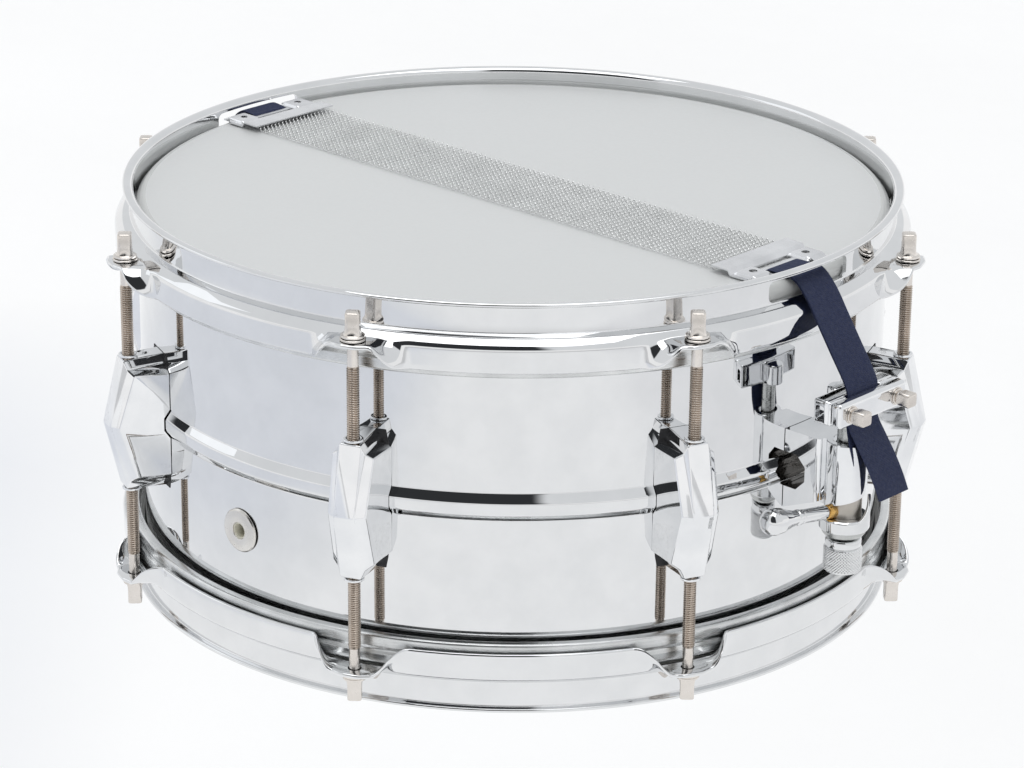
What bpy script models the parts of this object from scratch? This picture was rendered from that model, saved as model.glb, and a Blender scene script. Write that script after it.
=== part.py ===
"""Snare drum, 14 x 7 inch, standing on its batter hoop with the snare side up.

Frame: the drum's axis is Z and the batter hoop's lip rests on Z = 0.  +X points at the strainer (throw-off),
-X at the butt end, and the snare strands run along X.  Blender Z-up, metres.
"""
import bpy
import bmesh
import math
from mathutils import Matrix, Vector

MM = 0.001

# Whole drum
HEIGHT = 192.0 * MM                # lip to lip
MID = HEIGHT / 2                   # the mid plane, through the bead
SEGMENTS = 64                      # facets around the drum
ROD_CIRCLE = 192.0 * MM            # radius on which the tension rods stand
LUG_COUNT = 8
LUG_ANGLES = [math.radians(22.5 + 360 / LUG_COUNT * i) for i in range(LUG_COUNT)]

# Shell: rolled sheet, one raised bead, edges flanged inwards
SHELL_RADIUS = 176.0 * MM          # middle of the sheet
SHELL_SHEET = 1.2 * MM
SHELL_EDGE = 8.45 * MM             # height of the lower bearing edge's sheet
EDGE_FLANGE = 2.2 * MM             # inward reach of the 45 degree bearing edge
BEAD_HALF = 6.3 * MM
BEAD_FLAT = 2.4 * MM
BEAD_DEPTH = 2.6 * MM
BED_DEPTH = 1.2 * MM               # snare beds, filed in the snare side's bearing edge
BED_HALF_ANGLE = math.radians(28)

# Heads: a film, over the bearing edge and into its flesh hoop
FILM = 0.3 * MM
HEAD_PLANE = 7.55 * MM             # middle of the film, from the lip of the nearest hoop
HEAD_FLAT = 174.2 * MM
COLLAR_RADIUS = 177.05 * MM
COLLAR_TOP = 10.25 * MM
COLLAR_END = 24.0 * MM
HEM_RADIUS = 178.6 * MM
HEM_DEPTH = 25.6 * MM
FLESH_INNER = 179.2 * MM
FLESH_OUTER = 183.9 * MM
FLESH_NEAR = 19.2 * MM
FLESH_FAR = 33.6 * MM

# Counter hoops: one pressed sheet with a lip, a wall, a shoulder and a skirt that opens into flat ears
HOOP_SHEET = 2.0 * MM
LIP_RADIUS = 182.2 * MM
WALL_RADIUS = 179.0 * MM           # middle of the sheet
WALL_DEPTH = 15.0 * MM
SHOULDER_RADIUS = 183.0 * MM
SHOULDER_DEPTH = 16.2 * MM
BEND_RADIUS = 186.2 * MM
BEND_DEPTH = 19.0 * MM
SKIRT_LENGTH = 10.4 * MM
EAR_LENGTH = 12.2 * MM
EAR_CORNER = 10.4 * MM
EAR_HALF = 8.0 * MM
EAR_RAMP = 16.0 * MM               # arc over which the ear turns down into the skirt
EAR_HOLE = 3.1 * MM
STATIONS = (-22.5, -16.875, -11.25, -8.4, -6.2, -4.3, -2.4, 2.4, 4.3, 6.2, 8.4, 11.25, 16.875)
GATE_WIDTH = 54.0 * MM
GATE_NEAR = 3.6 * MM
GATE_FAR = 13.6 * MM
GATE_CORNER = 3.0 * MM

# Lugs: faceted casting with bevelled side panels, (radius, half width, height over the mid plane)
LUG_BACK = 176.95 * MM
LUG_FACE_MID = (203.8 * MM, 3.2 * MM, 0.0)
LUG_FACE_TOP = (196.5 * MM, 4.3 * MM, 33.0 * MM)
LUG_BACK_TOP = (LUG_BACK, 9.0 * MM, 33.0 * MM)
LUG_RIM_TOP = (194.0 * MM, 5.4 * MM, 30.4 * MM)
LUG_RIM_BACK = (LUG_BACK, 9.3 * MM, 29.0 * MM)
LUG_PANEL_MID = (199.5 * MM, 7.7 * MM, 0.0)
LUG_PANEL_TOP = (192.4 * MM, 7.6 * MM, 26.6 * MM)
LUG_PANEL_BACK = (LUG_BACK, 10.5 * MM, 25.2 * MM)
LUG_BORE = 3.15 * MM
LUG_NOTCH = 7.3 * MM               # radius of the notch that clears the bead

# Tension rods: square key head, flange, washer, shank and thread
KEY_HALF = 3.175 * MM
KEY_TOP = 5.0 * MM                 # depths from the nearest lip
KEY_FOOT = 15.2 * MM
FLANGE_RADIUS = 5.3 * MM
WASHER_TOP = 16.5 * MM
WASHER_RADIUS = 5.7 * MM
WASHER_FOOT = BEND_DEPTH - HOOP_SHEET / 2 - 0.3 * MM
SHANK_RADIUS = 2.5 * MM
THREAD_START = 30.0 * MM
THREAD_RADIUS = 2.74 * MM
ROD_END = 86.0 * MM

# Vent grommet, a quarter turn from the strainer
VENT_HEIGHT = 63.5 * MM
VENT_HOLE = 9.0 * MM
VENT_FLANGE = 10.3 * MM
VENT_BARREL = 8.6 * MM
VENT_BORE = 3.8 * MM
VENT_FRONT = 178.2 * MM
VENT_BACK = 173.6 * MM

# Strainer: piston type, worked by a lever that climbs a helical edge
AXIS_X = 204.0 * MM                # the piston's axis
TUBE_RADIUS = 9.5 * MM
TUBE_TOP = 114.0 * MM
SLEEVE_BORE = 8.0 * MM
SLEEVE_BORE_TOP = 104.0 * MM
PISTON_BORE = 5.2 * MM
HOUSING_HALF = 9.8 * MM
HOUSING_FRONT = 196.0 * MM
HOUSING_LOW_BACK = 77.5 * MM
HOUSING_LOW_FRONT = 85.5 * MM
TUNNEL_RADIUS = 9.0 * MM
TUNNEL_X = 180.0 * MM
CAM_RADIUS = 12.2 * MM
CAM_RISE = 2.6 * MM                # rise of the helical edge and of the piston, per radian of lever travel
LEVER_REST = math.radians(-97.0)   # the lever's direction when the snares are on
CAM_AT_REST = 85.4 * MM
CAM_FROM = math.radians(-135.0)
CAM_TO = math.radians(15.0)
CAM_FLOOR = 60.0 * MM

SLEEVE_RADIUS = 7.6 * MM
SLEEVE_TOP = 97.0 * MM
SLEEVE_INNER = 5.2 * MM
COLLAR_RIM = 11.5 * MM
COLLAR_UPPER = 79.0 * MM
COLLAR_LOWER = 72.5 * MM
COLLAR_FOOT = 10.0 * MM
COLLAR_BASE = 69.0 * MM
RIM_INNER = 9.9 * MM               # the collar's wall, whose top climbs beside the tube's edge
RIM_FROM = math.radians(-30.0)
RIM_PEAK = math.radians(43.0)
RIM_TO = math.radians(60.0)
RIM_RISE = 10.3 * MM
ARM_ROOT = 81.5 * MM               # the arm's axis beside the sleeve, and its upward tilt
ARM_TILT = math.radians(7.0)

PISTON_RADIUS = 4.8 * MM
PISTON_FOOT = 70.6 * MM
PISTON_TOP = 128.7 * MM
PISTON_SOCKET = 2.9 * MM
PISTON_SOCKET_TOP = 100.0 * MM

KNOB_RADIUS = 9.1 * MM
KNOB_FOOT = 52.5 * MM
KNOB_SHOULDER = 64.3 * MM
KNOB_NECK = 8.2 * MM
KNOB_TOP = 68.6 * MM
KNOB_SCREW = 2.5 * MM
KNOB_SCREW_TOP = 95.0 * MM

# Strap clamps, alike at the strainer and at the butt end
CLAMP_HALF = 23.3 * MM
CLAMP_LOW = 129.0 * MM
CLAMP_HIGH = 140.5 * MM
BLOCK_BACK = 202.0 * MM
BLOCK_FRONT = 209.7 * MM
PLATE_BACK = 211.5 * MM
PLATE_FRONT = 217.5 * MM
BOSS_X = 198.0 * MM                # boss on the back of the strainer's block
BOSS_RADIUS = 5.5 * MM
BOSS_TOP = 139.0 * MM
SCREW_Y = 16.0 * MM
SCREW_Z = 134.75 * MM
SCREW_RADIUS = 2.0 * MM
SCREW_BORE = 2.4 * MM
SCREW_START = 204.5 * MM
SCREW_HEAD = 217.8 * MM
SCREW_FLANGE = 4.2 * MM
SCREW_KEY = 219.0 * MM
SCREW_END = 226.5 * MM

# Butt end: a foot on the shell that carries the fixed clamp
BUTT_HALF = 13.0 * MM
BUTT_LOW = 110.0 * MM

# Mounting screws seen inside the shell
INNER_FACE = 175.05 * MM
INNER_HEAD = 4.0 * MM
INNER_HEAD_DEPTH = 2.6 * MM
STRAINER_SCREW_HEIGHTS = (81.5 * MM, 109.0 * MM)
BUTT_SCREW_HEIGHTS = (117.0 * MM, 133.0 * MM)

# Snare strands, end plates and straps
HEAD_TOP = HEIGHT - HEAD_PLANE + FILM / 2
STRAND_COUNT = 20
STRAND_PITCH = 2.45 * MM
STRAND_HEIGHT = 2.1 * MM
STRAND_GAP = 0.3 * MM
SNARE_SHIFT = -2.5 * MM            # the strands sit a little nearer to the butt end
STRAND_HALF = 150.5 * MM
PLATE_INNER = 146.5 * MM
PLATE_STEP = 157.5 * MM
PLATE_OUTER = 172.5 * MM
PLATE_HALF = 26.0 * MM
PLATE_SHEET = 0.9 * MM
PLATE_RISE = 0.45 * MM
SLOT_HALF = 11.3 * MM
SLOT_FROM = 164.5 * MM
SLOT_TO = 169.0 * MM
STRAP_HALF = 10.5 * MM
STRAP_SHEET = 1.2 * MM


def material(name, color, roughness, metallic):
    """A plain Principled material."""
    made = bpy.data.materials.new(name)
    made.use_nodes = True
    shader = made.node_tree.nodes["Principled BSDF"]
    shader.inputs["Base Color"].default_value = (*color, 1.0)
    shader.inputs["Roughness"].default_value = roughness
    shader.inputs["Metallic"].default_value = metallic
    return made


def place(name, mesh, finish, location=(0, 0, 0), turn=0.0):
    """A named sub-part made of a mesh, in the drum's collection."""
    made = bpy.data.objects.new(name, mesh)
    if not mesh.materials:
        mesh.materials.append(finish)
    made.location = location
    made.rotation_euler = (0, 0, turn)
    DRUM.objects.link(made)
    return made


def cutter(mesh, location=(0, 0, 0)):
    """A guide object that only cuts or joins."""
    made = bpy.data.objects.new("cutter", mesh)
    made.location = location
    made.hide_render = True
    made.display_type = "WIRE"
    CUTTERS.objects.link(made)
    return made


def mesh_of(vertices, faces=(), edges=()):
    """A mesh from lists of points and faces."""
    mesh = bpy.data.meshes.new("part")
    mesh.from_pydata([tuple(v) for v in vertices], list(edges), [tuple(f) for f in faces])
    mesh.update()
    return mesh


def bake(guide):
    """The evaluated mesh of an object with modifiers; the object is removed."""
    bpy.context.view_layer.update()
    graph = bpy.context.evaluated_depsgraph_get()
    mesh = bpy.data.meshes.new_from_object(guide.evaluated_get(graph))
    mesh.materials.clear()
    bpy.data.objects.remove(guide)
    return mesh


def smooth(mesh, angle=35):
    """Round faces shaded smooth, edges sharper than the angle kept."""
    mesh.shade_smooth()
    mesh.set_sharp_from_angle(angle=math.radians(angle))
    return mesh


def turned(profile, segments, closed):
    """A profile of (radius, height) points turned about Z; the outer side runs from top to bottom."""
    count = len(profile)
    edges = [(i, i + 1) for i in range(count - 1)]
    if closed:
        edges.append((count - 1, 0))
    guide = cutter(mesh_of([(r, 0, z) for r, z in profile], edges=edges))
    screw = guide.modifiers.new("screw", "SCREW")
    screw.axis = "Z"
    screw.steps = segments
    screw.render_steps = segments
    screw.use_merge_vertices = True
    screw.merge_threshold = 0.00001
    return guide


def sheet(guide, thickness):
    """Gives an open surface its thickness, half to each side."""
    solid = guide.modifiers.new("sheet", "SOLIDIFY")
    solid.thickness = thickness
    solid.offset = 0
    solid.use_even_offset = True
    return guide


def combine(mesh, tools, operation="DIFFERENCE"):
    """A mesh cut by, or joined with, other meshes given in the same frame."""
    guide = cutter(mesh)
    others = [cutter(tool) for tool in tools]
    for other in others:
        step = guide.modifiers.new("combine", "BOOLEAN")
        step.operation = operation
        step.solver = "EXACT"
        step.object = other
    made = bake(guide)
    for other in others:
        bpy.data.objects.remove(other)
    return made


def block(low, high, corner=0.0, along=0):
    """A box between two corners; the edges along one axis may be rounded."""
    work = bmesh.new()
    bmesh.ops.create_cube(work, size=1.0)
    low, high = Vector(low), Vector(high)
    for vertex in work.verts:
        for k in range(3):
            vertex.co[k] = (low[k] + high[k]) / 2 + vertex.co[k] * (high[k] - low[k])
    if corner:
        round_edges = [e for e in work.edges if abs((e.verts[0].co - e.verts[1].co)[along]) > 1e-6]
        bmesh.ops.bevel(work, geom=round_edges, offset=corner, segments=3, profile=0.5, affect="EDGES")
    mesh = bpy.data.meshes.new("block")
    work.to_mesh(mesh)
    work.free()
    return mesh


def rod_between(start, end, radius, sides, radius_end=None, roll=0.0):
    """A cylinder or cone from one point to another."""
    start, end = Vector(start), Vector(end)
    work = bmesh.new()
    bmesh.ops.create_cone(work, cap_ends=True, segments=sides, radius1=radius,
                          radius2=radius if radius_end is None else radius_end, depth=(end - start).length)
    spin = Matrix.Rotation(roll, 4, "Z")
    aim = (end - start).to_track_quat("Z", "Y").to_matrix().to_4x4()
    bmesh.ops.transform(work, matrix=Matrix.Translation((start + end) / 2) @ aim @ spin, verts=work.verts)
    mesh = bpy.data.meshes.new("rod")
    work.to_mesh(mesh)
    work.free()
    return mesh


def loft(rings):
    """A closed solid through rings with the same number of points; the ends are capped."""
    count = len(rings[0])
    vertices = [p for ring in rings for p in ring]
    faces = []
    for level in range(len(rings) - 1):
        for i in range(count):
            j = (i + 1) % count
            a, b = level * count, (level + 1) * count
            faces.append((a + i, b + i, b + j, a + j))
    faces.append(tuple(range(count)))
    faces.append(tuple(reversed(range((len(rings) - 1) * count, len(rings) * count))))
    work = bmesh.new()
    points = [work.verts.new(p) for p in vertices]
    for face in faces:
        work.faces.new([points[i] for i in face])
    bmesh.ops.recalc_face_normals(work, faces=work.faces)
    mesh = bpy.data.meshes.new("loft")
    work.to_mesh(mesh)
    work.free()
    return mesh


def polar(radius, angle, height):
    return (radius * math.cos(angle), radius * math.sin(angle), height)


# ---------------------------------------------------------------- shell and vent

def build_shell():
    low, high = SHELL_EDGE, HEIGHT - SHELL_EDGE
    outer = SHELL_RADIUS
    profile = [
        (outer - EDGE_FLANGE, high), (outer, high - EDGE_FLANGE),
        (outer, MID + BEAD_HALF), (outer + BEAD_DEPTH, MID + BEAD_FLAT),
        (outer + BEAD_DEPTH, MID - BEAD_FLAT), (outer, MID - BEAD_HALF),
        (outer, low + EDGE_FLANGE), (outer - EDGE_FLANGE, low),
    ]
    mesh = bake(sheet(turned(profile, SEGMENTS, closed=False), SHELL_SHEET))
    for vertex in mesh.vertices:
        if vertex.co.z > high - EDGE_FLANGE * 0.6:
            off = math.atan2(abs(vertex.co.y), abs(vertex.co.x))
            if off < BED_HALF_ANGLE:
                vertex.co.z -= BED_DEPTH * 0.5 * (1 + math.cos(math.pi * off / BED_HALF_ANGLE))
    vent = rod_between((0, -SHELL_RADIUS * 1.1, VENT_HEIGHT), (0, -SHELL_RADIUS * 0.9, VENT_HEIGHT), VENT_HOLE, 16)
    place("shell", smooth(combine(mesh, [vent])), CHROME)


def build_vent_grommet():
    profile = [
        (VENT_BORE, VENT_FRONT), (VENT_FLANGE - 0.8 * MM, VENT_FRONT), (VENT_FLANGE, VENT_FRONT - 0.7 * MM),
        (VENT_FLANGE, LUG_BACK), (VENT_BARREL, LUG_BACK), (VENT_BARREL, VENT_BACK + 0.9 * MM),
        (VENT_FLANGE - 0.3 * MM, VENT_BACK + 0.9 * MM), (VENT_FLANGE - 0.3 * MM, VENT_BACK), (VENT_BORE, VENT_BACK),
    ]
    mesh = bake(turned(profile, 16, closed=True))
    mesh.transform(Matrix.Rotation(math.radians(90), 4, "X"))
    place("vent_grommet", smooth(mesh), CHROME, (0, 0, VENT_HEIGHT))


# ---------------------------------------------------------------- heads and hoops

def side_height(depth, snare_side):
    """Height of a point at a depth below the nearest lip."""
    return HEIGHT - depth if snare_side else depth


def build_head(name, snare_side, finish):
    profile = [(0, HEAD_PLANE), (HEAD_FLAT * 0.5, HEAD_PLANE), (HEAD_FLAT, HEAD_PLANE),
               (COLLAR_RADIUS, COLLAR_TOP), (COLLAR_RADIUS, COLLAR_END), (HEM_RADIUS, HEM_DEPTH)]
    profile = [(r, side_height(depth, snare_side)) for r, depth in profile]
    place(name, smooth(bake(sheet(turned(profile, SEGMENTS, closed=False), FILM))), finish)


def build_flesh_hoop(name, snare_side):
    near, far = side_height(FLESH_NEAR, snare_side), side_height(FLESH_FAR, snare_side)
    low, high = min(near, far), max(near, far)
    profile = [(FLESH_INNER, high), (FLESH_OUTER, high), (FLESH_OUTER, low), (FLESH_INNER, low)]
    place(name, smooth(bake(turned(profile, SEGMENTS, closed=True))), ALUMINIUM)


def hoop_section(offset):
    """The sheet's middle line, as (radius, depth), at an angle from the nearest ear."""
    run = max(0.0, abs(offset) * BEND_RADIUS - EAR_HALF) / EAR_RAMP
    run = min(1.0, run)
    turn = math.radians(90) * run * run * (3 - 2 * run)
    reach = SKIRT_LENGTH
    if run == 0.0:
        reach = EAR_LENGTH
    elif run < 0.3:
        reach = EAR_CORNER
    return [
        (LIP_RADIUS, HOOP_SHEET / 2), (WALL_RADIUS, HOOP_SHEET / 2), (WALL_RADIUS, WALL_DEPTH),
        (SHOULDER_RADIUS, SHOULDER_DEPTH), (BEND_RADIUS, BEND_DEPTH),
        (BEND_RADIUS + reach * math.cos(turn), BEND_DEPTH + reach * math.sin(turn)),
    ]


def build_counter_hoop(name, snare_side):
    rings = []
    for ear in LUG_ANGLES:
        for degrees in STATIONS:
            angle = math.radians(degrees)
            rings.append([polar(r, ear + angle, side_height(depth, snare_side)) for r, depth in hoop_section(angle)])
    count, points = len(rings), len(rings[0])
    faces = []
    for i in range(count):
        j = (i + 1) % count
        faces += [(i * points + k, j * points + k, j * points + k + 1, i * points + k + 1) for k in range(points - 1)]
    mesh = bake(sheet(cutter(mesh_of([p for ring in rings for p in ring], faces)), HOOP_SHEET))
    ear_depth = side_height(BEND_DEPTH, snare_side)
    tools = [rod_between(polar(ROD_CIRCLE, a, ear_depth - 4 * MM), polar(ROD_CIRCLE, a, ear_depth + 4 * MM),
                         EAR_HOLE, 12) for a in LUG_ANGLES]
    if snare_side:
        for side in (-1, 1):
            span = sorted((side * (WALL_RADIUS - 9 * MM), side * (WALL_RADIUS + 4 * MM)))
            tools.append(block((span[0], -GATE_WIDTH / 2, HEIGHT - GATE_FAR),
                               (span[1], GATE_WIDTH / 2, HEIGHT - GATE_NEAR), GATE_CORNER, along=0))
    place(name, smooth(combine(mesh, tools)), CHROME)


# ---------------------------------------------------------------- lugs and rods

def lug_mesh():
    """One lug about the drum's axis, facing +X, centred on its mid height."""
    back_mid = (LUG_BACK, LUG_PANEL_BACK[1], 0.0)
    points = [LUG_FACE_MID, LUG_FACE_TOP, LUG_BACK_TOP, LUG_RIM_TOP, LUG_RIM_BACK,
              LUG_PANEL_MID, LUG_PANEL_TOP, LUG_PANEL_BACK, back_mid]
    on_plane = [(p[0], 0.0, p[2]) for p in (LUG_FACE_MID, LUG_FACE_TOP, LUG_BACK_TOP, back_mid)]
    face_mid, face_top, back_top, rim_top, rim_back, panel_mid, panel_top, panel_back, back_low = range(9)
    centre_mid, centre_top, centre_back_top, centre_back = range(9, 13)
    faces = [
        (face_mid, face_top, centre_top, centre_mid), (face_top, back_top, centre_back_top, centre_top),
        (face_mid, rim_top, face_top), (face_top, rim_top, rim_back, back_top),
        (face_mid, panel_mid, panel_top, rim_top), (rim_top, panel_top, panel_back, rim_back),
        (panel_mid, back_low, panel_back, panel_top),
        (back_low, centre_back, centre_back_top, back_top, rim_back, panel_back),
    ]
    guide = cutter(mesh_of(points + on_plane, faces))
    mirror = guide.modifiers.new("mirror", "MIRROR")
    mirror.use_axis = (False, True, True)
    mirror.merge_threshold = 0.00001
    mesh = bake(guide)
    work = bmesh.new()
    work.from_mesh(mesh)
    bmesh.ops.recalc_face_normals(work, faces=work.faces)
    work.to_mesh(mesh)
    work.free()
    bore = rod_between((ROD_CIRCLE, 0, -40 * MM), (ROD_CIRCLE, 0, 40 * MM), LUG_BORE, 12, roll=math.pi / 12)
    notch = rod_between((LUG_BACK, -15 * MM, 0), (LUG_BACK, 15 * MM, 0), LUG_NOTCH, 16, roll=math.pi / 16)
    return smooth(combine(mesh, [bore, notch]), angle=20)


def square_ring(half, height):
    """Eight points round a square."""
    pattern = [(1, 0), (1, 1), (0, 1), (-1, 1), (-1, 0), (-1, -1), (0, -1), (1, -1)]
    return [(half * x, half * y, height) for x, y in pattern]


def round_ring(radius, height, count=8):
    return [(radius * math.cos(2 * math.pi * i / count), radius * math.sin(2 * math.pi * i / count), height)
            for i in range(count)]


def rod_mesh(snare_side):
    """One tension rod about its own axis, at its real heights."""
    levels = [square_ring(KEY_HALF * 0.85, KEY_TOP), square_ring(KEY_HALF, KEY_TOP + 0.6 * MM),
              square_ring(KEY_HALF, KEY_FOOT), round_ring(FLANGE_RADIUS, KEY_FOOT + 0.2 * MM),
              round_ring(FLANGE_RADIUS, WASHER_TOP), round_ring(WASHER_RADIUS, WASHER_TOP + 0.1 * MM),
              round_ring(WASHER_RADIUS, WASHER_FOOT), round_ring(SHANK_RADIUS, WASHER_FOOT + 0.1 * MM),
              round_ring(SHANK_RADIUS, THREAD_START), round_ring(THREAD_RADIUS, THREAD_START + 0.3 * MM),
              round_ring(THREAD_RADIUS, ROD_END - 1.0 * MM), round_ring(THREAD_RADIUS * 0.7, ROD_END)]
    rings = [[(x, y, side_height(depth, snare_side)) for x, y, depth in level] for level in levels]
    return smooth(loft(rings))


def build_lugs_and_rods():
    lug = lug_mesh()
    rods = {True: rod_mesh(True), False: rod_mesh(False)}
    for number, angle in enumerate(LUG_ANGLES, start=1):
        place(f"lug_{number}", lug, CHROME, (0, 0, MID), angle)
        spot = polar(ROD_CIRCLE, angle, 0)
        place(f"snare_side_rod_{number}", rods[True], NICKEL, spot, angle)
        place(f"batter_side_rod_{number}", rods[False], NICKEL, spot, angle)


# ---------------------------------------------------------------- strainer

def cam_height(angle):
    """Height of the helical edge at an angle about the piston's axis."""
    held = min(max(angle, CAM_FROM), CAM_TO)
    return CAM_AT_REST + CAM_RISE * (held - LEVER_REST)


def cam_cutter():
    """The space under the helical edge: a cylinder whose top follows the edge."""
    count = 32
    low, high = [], []
    for i in range(count):
        angle = -math.pi + 2 * math.pi * i / count
        x, y = CAM_RADIUS * math.cos(angle), CAM_RADIUS * math.sin(angle)
        low.append((x, y, CAM_FLOOR))
        high.append((x, y, cam_height(angle)))
    centre_low, centre_high = 2 * count, 2 * count + 1
    vertices = low + high + [(0, 0, CAM_FLOOR), (0, 0, CAM_AT_REST + CAM_RISE)]
    faces = []
    for i in range(count):
        j = (i + 1) % count
        faces += [(i, j, count + j, count + i), (count + i, count + j, centre_high), (j, i, centre_low)]
    return mesh_of(vertices, faces)


def build_strainer_base():
    """Housing on the shell with the tube in front of it, about the piston's axis."""
    back, front = LUG_BACK - AXIS_X, HOUSING_FRONT - AXIS_X
    outline = [(back, HOUSING_LOW_BACK), (front, HOUSING_LOW_FRONT), (0.0, HOUSING_LOW_FRONT + 4 * MM),
               (0.0, TUBE_TOP + 1.0 * MM), (back, TUBE_TOP + 1.0 * MM)]
    housing = loft([[(x, y, z) for x, z in outline] for y in (-HOUSING_HALF, HOUSING_HALF)])
    tube = rod_between((0, 0, 80 * MM), (0, 0, TUBE_TOP + 1.0 * MM), TUBE_RADIUS, 32, roll=math.pi / 32)
    body = combine(housing, [tube], "UNION")
    middle = (TUNNEL_X - AXIS_X, MID)
    tunnel = rod_between((middle[0], -20 * MM, MID), (middle[0], 20 * MM, MID), TUNNEL_RADIUS, 8,
                         roll=math.radians(22.5))
    bore = rod_between((0, 0, 70 * MM), (0, 0, SLEEVE_BORE_TOP), SLEEVE_BORE, 20)
    guide = rod_between((0, 0, 90 * MM), (0, 0, 125 * MM), PISTON_BORE, 20)
    body = combine(body, [cam_cutter(), tunnel, bore, guide])
    place("strainer_base", smooth(body), CHROME, (AXIS_X, 0, 0))


def rim_height(angle):
    """Height of the collar's wall: a slow climb to its peak, then a quick drop."""
    if angle <= RIM_PEAK:
        part = (angle - RIM_FROM) / (RIM_PEAK - RIM_FROM)
    else:
        part = (RIM_TO - angle) / (RIM_TO - RIM_PEAK)
    return COLLAR_UPPER - 0.3 * MM + RIM_RISE * max(0.0, part)


def collar_wall():
    """The climbing wall on the collar as a loft round the piston's axis."""
    angles = [RIM_FROM + (RIM_PEAK - RIM_FROM) * i / 9 for i in range(10)] + [(RIM_PEAK + RIM_TO) / 2, RIM_TO]
    base = COLLAR_UPPER - 2 * MM
    outer = COLLAR_RIM - 0.05 * MM
    return loft([[polar(RIM_INNER, a, base), polar(outer, a, base), polar(outer, a, rim_height(a)),
                  polar(RIM_INNER, a, rim_height(a))] for a in angles])


def build_lever():
    """Sleeve, collar and arm, one piece that turns about the piston's axis."""
    profile = [(SLEEVE_INNER, SLEEVE_TOP), (SLEEVE_RADIUS, SLEEVE_TOP), (SLEEVE_RADIUS, COLLAR_UPPER),
               (COLLAR_RIM, COLLAR_UPPER), (COLLAR_RIM, COLLAR_LOWER), (COLLAR_FOOT, COLLAR_BASE),
               (SLEEVE_INNER, COLLAR_BASE)]
    hub = bake(turned(profile, 20, closed=True))
    arm_profile = [(0.0, 49.6), (2.6, 49.2), (4.9, 47.6), (6.1, 45.2), (6.2, 42.6), (5.2, 38.6), (3.7, 33.0),
                   (3.0, 28.0), (3.1, 26.0), (3.2, 6.2), (0.0, 6.2)]
    arm = bake(turned([(r * MM, z * MM) for r, z in arm_profile], 12, closed=False))
    arm.transform(Matrix.Rotation(math.radians(90) - ARM_TILT, 4, "Y"))
    arm.transform(Matrix.Translation((0, 0, ARM_ROOT)) @ Matrix.Rotation(LEVER_REST, 4, "Z"))
    place("throw_off_lever", smooth(combine(hub, [arm, collar_wall()], "UNION")), CHROME, (AXIS_X, 0, 0))


def build_piston():
    profile = [(0.0, PISTON_TOP), (PISTON_RADIUS, PISTON_TOP), (PISTON_RADIUS, PISTON_FOOT),
               (PISTON_SOCKET, PISTON_FOOT), (PISTON_SOCKET, PISTON_SOCKET_TOP), (0.0, PISTON_SOCKET_TOP)]
    place("piston", smooth(bake(turned(profile, 16, closed=False))), CHROME, (AXIS_X, 0, 0))


def build_knob():
    profile = [(0.0, KNOB_SCREW_TOP), (KNOB_SCREW, KNOB_SCREW_TOP), (KNOB_SCREW, KNOB_TOP), (KNOB_NECK, KNOB_TOP),
               (KNOB_NECK, KNOB_SHOULDER), (KNOB_RADIUS, KNOB_SHOULDER), (KNOB_RADIUS, KNOB_FOOT + 1.2 * MM),
               (KNOB_RADIUS - 1.2 * MM, KNOB_FOOT), (0.0, KNOB_FOOT)]
    place("adjust_knob", smooth(bake(turned(profile, 24, closed=False))), CHROME, (AXIS_X, 0, 0))


# ---------------------------------------------------------------- clamps

def clamp_bores(side):
    return [rod_between((side * (BLOCK_BACK + 1.5 * MM), y, SCREW_Z), (side * (PLATE_FRONT + 3 * MM), y, SCREW_Z),
                        SCREW_BORE, 12) for y in (-SCREW_Y, SCREW_Y)]


def clamp_block(side, back):
    span = sorted((side * back, side * BLOCK_FRONT))
    return block((span[0], -CLAMP_HALF, CLAMP_LOW), (span[1], CLAMP_HALF, CLAMP_HIGH), 1.2 * MM, along=1)


def build_clamp_plate(name, side):
    span = sorted((side * PLATE_BACK, side * PLATE_FRONT))
    plate = block((span[0], -CLAMP_HALF, CLAMP_LOW), (span[1], CLAMP_HALF, CLAMP_HIGH), 1.2 * MM, along=1)
    place(name, smooth(combine(plate, clamp_bores(side))), CHROME)


def build_clamp_screw(name, side, y):
    """A key screw lying along X, with its origin on its own axis."""
    rings = [round_ring(SCREW_RADIUS, SCREW_START), round_ring(SCREW_RADIUS, SCREW_HEAD - 0.05 * MM),
             round_ring(SCREW_FLANGE, SCREW_HEAD), round_ring(SCREW_FLANGE, SCREW_KEY),
             square_ring(KEY_HALF, SCREW_KEY + 0.1 * MM), square_ring(KEY_HALF, SCREW_END - 0.6 * MM),
             square_ring(KEY_HALF * 0.85, SCREW_END)]
    mesh = loft(rings)
    mesh.transform(Matrix.Rotation(math.radians(90 * side), 4, "Y"))
    place(name, smooth(mesh), NICKEL, (0, y, SCREW_Z))


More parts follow.
